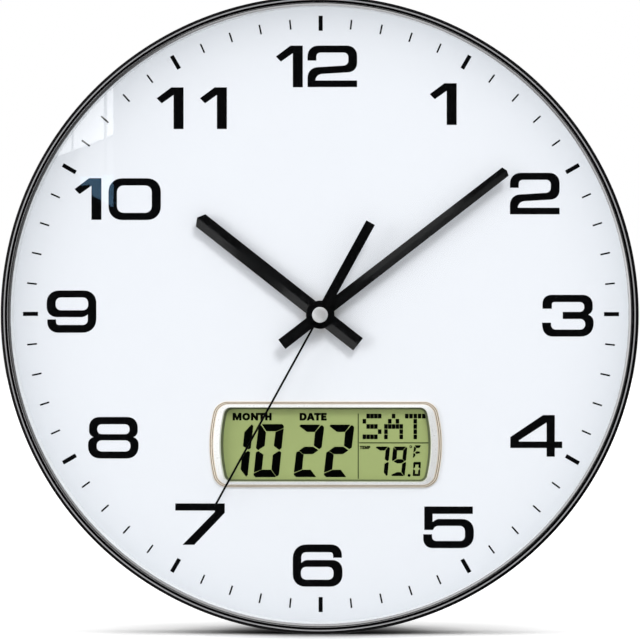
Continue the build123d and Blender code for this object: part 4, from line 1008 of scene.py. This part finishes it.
# %% Screw slots and door grips
screw_circle, screw_count, first_screw = clock_radius - 22, 6, 30
slot_reach, slot_half, slot_proud, slot_deep = 1.7, 0.35, 0.02, 0.3
head_back = -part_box("case_screws")[1].y / MM
bm = bmesh.new()
for step in range(screw_count):
    bearing = radians(first_screw + 360 / screw_count * step)
    place = spot(screw_circle * sin(bearing), screw_circle * cos(bearing), 0)
    for quarter in (0, 90):
        bar = box_between(
            bm, -slot_reach, slot_reach, -slot_half, slot_half, head_back - slot_proud, head_back + slot_deep
        )
        bmesh.ops.rotate(bm, cent=(0, 0, 0), matrix=along(quarter + 37 * step).to_3x3(), verts=bar)
        bmesh.ops.translate(bm, vec=place, verts=bar)
# The crosses' near-black is painted shade, standing for the shadow inside the recess.
slot_shade = metal("slot_shade", (0.015, 0.015, 0.016), (0.03, 0.03, 0.032), (1, 1, 1), 0.5, 0.4)
piece(bm, "screw_slots", "case", [slot_shade])

door_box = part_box("battery_door")
door_low, door_back = door_box[0].z / MM, -door_box[1].y / MM
grip_count, grip_start, grip_step, grip_width, grip_reach, grip_height = 4, 3.2, 1.8, 0.9, 8, 0.45
bm = bmesh.new()
for step in range(grip_count):
    low = door_low + grip_start + grip_step * step
    box_between(bm, -grip_reach, grip_reach, low, low + grip_width, door_back - grip_height, door_back + 0.1)
soften(bm, [edge for edge in bm.edges if edge.calc_face_angle(0) > 1], 0.2, 2)
piece(bm, "door_grips", "door", [nodes["battery_door"].data.materials[0]])

# %% [markdown]
# ## Coil, boards and cells
# The coil's turns are a wave along its length, used as height, and the same wave darkens the colour in the
# grooves between turns as painted shade. The boards are green laminate with the weave of their glass cloth.
# The cells wear a plain printed sleeve: pale, with a dark band at the positive end.

# %% Coil, board and cell finishes
wire = Finish("coil_copper_wire")
wire_pitch = 0.00025
turns = (wire.axes()[0] * (2 * pi / wire_pitch)).wave()
coil_copper = wire.surface(
    # Painted shade: the copper colour darkens in the grooves between turns.
    Base_Color=wire.mix(turns, (0.30, 0.10, 0.04), (0.66, 0.30, 0.14)),
    Roughness=0.4 - turns * 0.15,
    Metallic=0.9,
    Normal=wire.bump(turns, 0.0001, 0.7),
)
dress(coil_copper, "coil")

laminate = Finish("board_green_laminate")
x, y, z = laminate.axes()
threads = 9000.0
weave = (x * threads).sine() * (z * threads).sine() * 0.5 + 0.5
mottle = weave * 0.4 + laminate.noise(60, 3) * 0.6
board_green = laminate.surface(
    Base_Color=laminate.mix(mottle, (0.015, 0.10, 0.04), (0.03, 0.17, 0.07)),
    Roughness=weave * 0.1 + 0.3,
    Normal=laminate.bump(weave, 0.00003, 0.4),
)
dress(board_green, "movement_board", "lcd_board")


def sleeve(name, band_start, band_end, tip_start):
    made = Finish(name)
    x, y, z = made.axes()
    band = (x > band_start) * (x < band_end)
    tip = x > tip_start
    worn = made.noise(120, 4)
    paint = made.mix(band, made.mix(worn, (0.50, 0.51, 0.52), (0.60, 0.61, 0.62)), (0.03, 0.06, 0.13))
    return made.surface(
        Base_Color=made.mix(tip, paint, (0.62, 0.61, 0.58)),
        Roughness=worn * 0.15 + 0.25,
        Metallic=tip * 0.6 + 0.3,
        Normal=made.bump(worn, 0.00004, 0.3),
    )


large = sleeve("cell_sleeve_large", band_start=0.010, band_end=0.0235, tip_start=0.0237)
small = sleeve("cell_sleeve_small", band_start=0.008, band_end=0.0205, tip_start=0.0207)
dress(large, "aa_cell")
dress(small, "display_cells")
bare = [name for name, node in nodes.items() if not node.hide_render and not node.data.materials[0].use_nodes]
print("nodes without a finish of their own:", bare)

# %% [markdown]
# ## Camera
# The clock is seen almost square on through a long lens, a little from the right and from above: the dial
# sits a millimetre off centre in its rim, and that gives the angle. The rim's radius in the picture gives
# the focal length for a camera four metres away.

# %% Camera
rim_pixels, picture = 318.86, 640
far, right_turn, rise = 4.0, radians(2.1), radians(0.75)
rim_plane, sensor = -0.0405, 36
aim = Vector((0.00034, rim_plane, -0.00234))
camera_data = bpy.data.cameras.new("camera")
camera_data.sensor_width = sensor
camera_data.lens = rim_pixels * far / (clock_radius * MM) / picture * sensor
camera = bpy.data.objects.new("camera", camera_data)
bpy.context.scene.collection.objects.link(camera)
away = Vector((sin(right_turn) * cos(rise), -cos(right_turn) * cos(rise), sin(rise)))
camera.location = aim + away * far
camera.rotation_euler = (-away).to_track_quat("-Z", "Y").to_euler()
bpy.context.scene.camera = camera
print("lens", round(camera_data.lens, 1), "camera", [round(v, 3) for v in camera.location])

# %% [markdown]
# ## Studio
# A white room lights the clock evenly, and two soft lamps join it: one above right draws the hands' shadows,
# and a weaker one at the left lightens that side. They are linked to the clock alone, and only the hands, the
# cap and the display's frame cast their shadows, so the rim leaves the dial evenly white. The world is white
# where the camera, a mirror or a pane looks at it and a little lower where it lights.

# %% World and lamps
lit_level = 0.8
white_room = Finish("white_room", bpy.data.worlds.new("white_room"), "ShaderNodeOutputWorld")
path = white_room.node("ShaderNodeLightPath", {}, {})
to_camera, to_mirror, to_pane = [
    white_room.out(path, f"Is {kind} Ray") for kind in ("Camera", "Glossy", "Transmission")
]
seen = to_camera.at_least(to_mirror.at_least(to_pane))
strength = seen * (1 - lit_level) + lit_level
bpy.context.scene.world = white_room.done(
    white_room.node("ShaderNodeBackground", {}, {"Color": (1, 1, 1), "Strength": strength})
)


def lamp(name, place, target, size, power):
    data = bpy.data.lights.new(name, "AREA")
    data.shape, data.size, data.energy = "DISK", size, power
    made = bpy.data.objects.new(name, data)
    bpy.context.scene.collection.objects.link(made)
    made.location = place
    made.rotation_euler = (Vector(target) - Vector(place)).to_track_quat("-Z", "Y").to_euler()
    made.visible_glossy = False
    return made


lit, shadowers = bpy.data.collections.new("lamp_lit"), bpy.data.collections.new("lamp_shadows")
for thing in bpy.context.scene.objects:
    if thing.type == "MESH":
        lit.objects.link(thing)
for name in ("hour_bar", "minute_bar", "second_needle", "hub_cap", "display_frame"):
    shadowers.objects.link(bpy.data.objects[name])
hub_place = (0, -0.03, 0)
for made in (
    lamp("key", (2.0, -4.64, 4.64), hub_place, size=2.24, power=222),
    lamp("side", (-5.3, -3.5, 0.3), hub_place, size=3.2, power=125),
):
    made.light_linking.receiver_collection = lit
    made.light_linking.blocker_collection = shadowers

# %% [markdown]
# ## Floor
# The clock stands on one pale sheet that takes its shadow. To the light the sheet is a plain near-white. To
# the camera it is lifted to white, as a studio sheet is by its own lamps, and near the clock's foot a painted
# shadow darkens it, deepening the real one. Its tones follow the distance from the foot.


# %% Floor
def set_up(bm, name, finish):
    mesh = bpy.data.meshes.new(name)
    bm.to_mesh(mesh)
    bm.free()
    mesh.materials.append(finish)
    made = bpy.data.objects.new(name, mesh)
    bpy.context.scene.collection.objects.link(made)
    return made


painted_shadow_middle, painted_shadow_reach, depth_share = 0.011, 0.2, 0.95
floor_half, floor_gap = 6, 0.0001
# Near the foot these camera tones are a painted shadow; further out they lift the sheet to white.
painted_shadow_then_white = ((0.0, 0.06), (0.1, 0.1), (0.16, 0.2), (0.21, 0.4), (0.27, 0.88), (0.375, 1.42), (0.55, 1.7))
ground = Finish("floor_white_painted_shadow")
x, y, z = ground.axes()
behind = (y + painted_shadow_middle) * depth_share
camera_tone_and_painted_shadow = ground.greys((x * x + behind * behind) ** 0.5 / painted_shadow_reach, painted_shadow_then_white)
plain = ground.mix(ground.noise(3, 2), (0.8, 0.8, 0.8), (0.82, 0.82, 0.82))
to_camera = ground.out(ground.node("ShaderNodeLightPath", {}, {}), "Is Camera Ray")
paper_and_painted_shadow = ground.mix(to_camera, plain, camera_tone_and_painted_shadow)
floor_white_painted_shadow = ground.done(ground.node("ShaderNodeBsdfDiffuse", {}, {"Color": paper_and_painted_shadow}))
bm = bmesh.new()
bmesh.ops.create_grid(bm, x_segments=8, y_segments=8, size=floor_half)
bmesh.ops.translate(bm, vec=(0, 0, model_box[0].z - floor_gap), verts=bm.verts)
floor = set_up(bm, "floor", floor_white_painted_shadow)
floor.visible_glossy = False
print("floor at", round(model_box[0].z, 4))

# %% [markdown]
# ## What the glass mirrors
# A flat pane seen square on mirrors the camera's own side of the room. As a photographer does, a dark flag
# stands there, so that black hands stay black behind the glass. In front of it hangs a window: its panes are
# seen only as a reflection at the upper left. Small grey cards stand where single facets of the hands look,
# and give these their lighter sides. Cards are drawn in the picture's pixels and laid in the room by
# mirroring the camera in the glass.

# %% Flag and window
glass_plane = -glass_front * MM
mirrored = Vector((camera.location.x, 2 * glass_plane - camera.location.y, camera.location.z))
pixel = clock_radius * MM / rim_pixels
hub_pixel = (319.5, 314.5)


def in_glass(distance):
    reach = (-distance - mirrored.y) / (glass_plane - mirrored.y)
    top_left = Vector((-hub_pixel[0] * pixel, glass_plane, hub_pixel[1] * pixel))
    corner = mirrored + (top_left - mirrored) * reach
    return Matrix.Translation(corner) @ FACE @ Matrix.Diagonal((1, -1, 1, 1)) @ Matrix.Scale(pixel * reach, 4)


def card(bm, finish):
    holder = set_up(bm, finish.name, finish)
    holder.visible_camera = holder.visible_diffuse = holder.visible_shadow = False
    holder.visible_transmission = holder.visible_volume_scatter = False


def flat_card(name, panes, distance, colour, strength):
    bm = bmesh.new()
    for pane in panes:
        add_flat(bm, outline([[(px, py, 0) for px, py in pane]], 0), in_glass(distance))
    made = Finish(name)
    card(bm, made.done(made.node("ShaderNodeEmission", {}, {"Color": colour, "Strength": strength})))


WHITE, SKY, DUSK = (1, 1, 1), (0.31, 0.62, 1.0), (0.6, 0.62, 0.66)
FLAG_AT, FACETS_AT, WINDOW_AT = 1.6, 1.55, 1.2
flat_card("flag", [[
    (-2000, -1800), (3400, -1800), (3400, 2600), (900, 2600), (900, 1140), (300, 1140), (300, 1000),
    (-450, 960), (-500, 960), (-500, -650), (-2000, -650),
]], FLAG_AT, DUSK, 0.01)
flat_card("grey_left", [[(-2000, -650), (-500, -650), (-500, 300), (-2000, 300)]], FLAG_AT, WHITE, 0.6)
hour_break = [(-390, 1010), (-346, 1028), (-324, 1050), (-338, 1072), (-365, 1051)]
flat_card("flag_small", [hour_break], FACETS_AT, WHITE, 0.02)
flat_card("grey_low", [[(1200, 1250), (1340, 1170), (1340, 1340), (1200, 1410)]], FACETS_AT, WHITE, 0.38)
flat_card("grey_high", [[(-520, -900), (-390, -980), (-390, -820), (-480, -760)]], FACETS_AT, WHITE, 0.75)
flat_card("window_bright", [
    [(71, 132.5), (71, 150.5), (57, 155.8), (61, 147)],
    [(73, 129.8), (90, 109.1), (103.5, 94.9), (103.5, 137.8), (73, 149.6)],
    [(106.5, 92), (113, 86), (113, 134), (106.5, 136.5)],
], WINDOW_AT, WHITE, 2.7)
flat_card("window_low", [
    [(77, 151.5), (103.5, 141), (103.5, 176), (77, 176)],
    [(106.5, 140), (113, 137.5), (113, 174), (106.5, 175)],
], WINDOW_AT, WHITE, 0.35)
flat_card("window_sky", [
    [(80, 176), (113, 174), (113, 207), (101, 199.5), (92, 195.5), (89, 184), (80, 185)],
], WINDOW_AT, SKY, 1.8)
print("mirror cards set")

# %% [markdown]
# The polished bead looks sideways, past the rim, so it needs a room too: a wall round the clock, seen only in
# mirrors, whose brightness changes with the direction, as between windows and dark corners.

# %% Room wall
room = Finish("room_wall")
x, y, z = room.axes()
bearing = room.out(room.node("ShaderNodeMath", {"operation": "ARCTAN2"}, {0: x, 1: z})) / (2 * pi) + 0.5
walls = (
    (0.025, 0.75), (0.142, 0.3), (0.225, 1.0), (0.358, 0.75), (0.508, 0.7), (0.642, 0.42), (0.725, 0.14),
    (0.892, 0.04), (1.0, 0.7),
)
tone = room.greys(bearing, walls)
wide, deep, middle = 1.5, 2.1, -0.35
bm = bmesh.new()
made = bmesh.ops.create_cone(
    bm, cap_ends=False, segments=64, radius1=wide, radius2=wide, depth=deep
)["verts"]
bmesh.ops.rotate(bm, cent=(0, 0, 0), matrix=Matrix.Rotation(pi / 2, 3, "X"), verts=made)
bmesh.ops.translate(bm, vec=(0, middle, 0), verts=made)
card(bm, room.done(room.node("ShaderNodeEmission", {}, {"Color": tone, "Strength": 1.0})))
print("room wall set")

# %% [markdown]
# ## Hand over
# The view transform stays plain, so that a colour comes out as it was written.

# %% Finish
bpy.context.scene.view_settings.view_transform = "Standard"
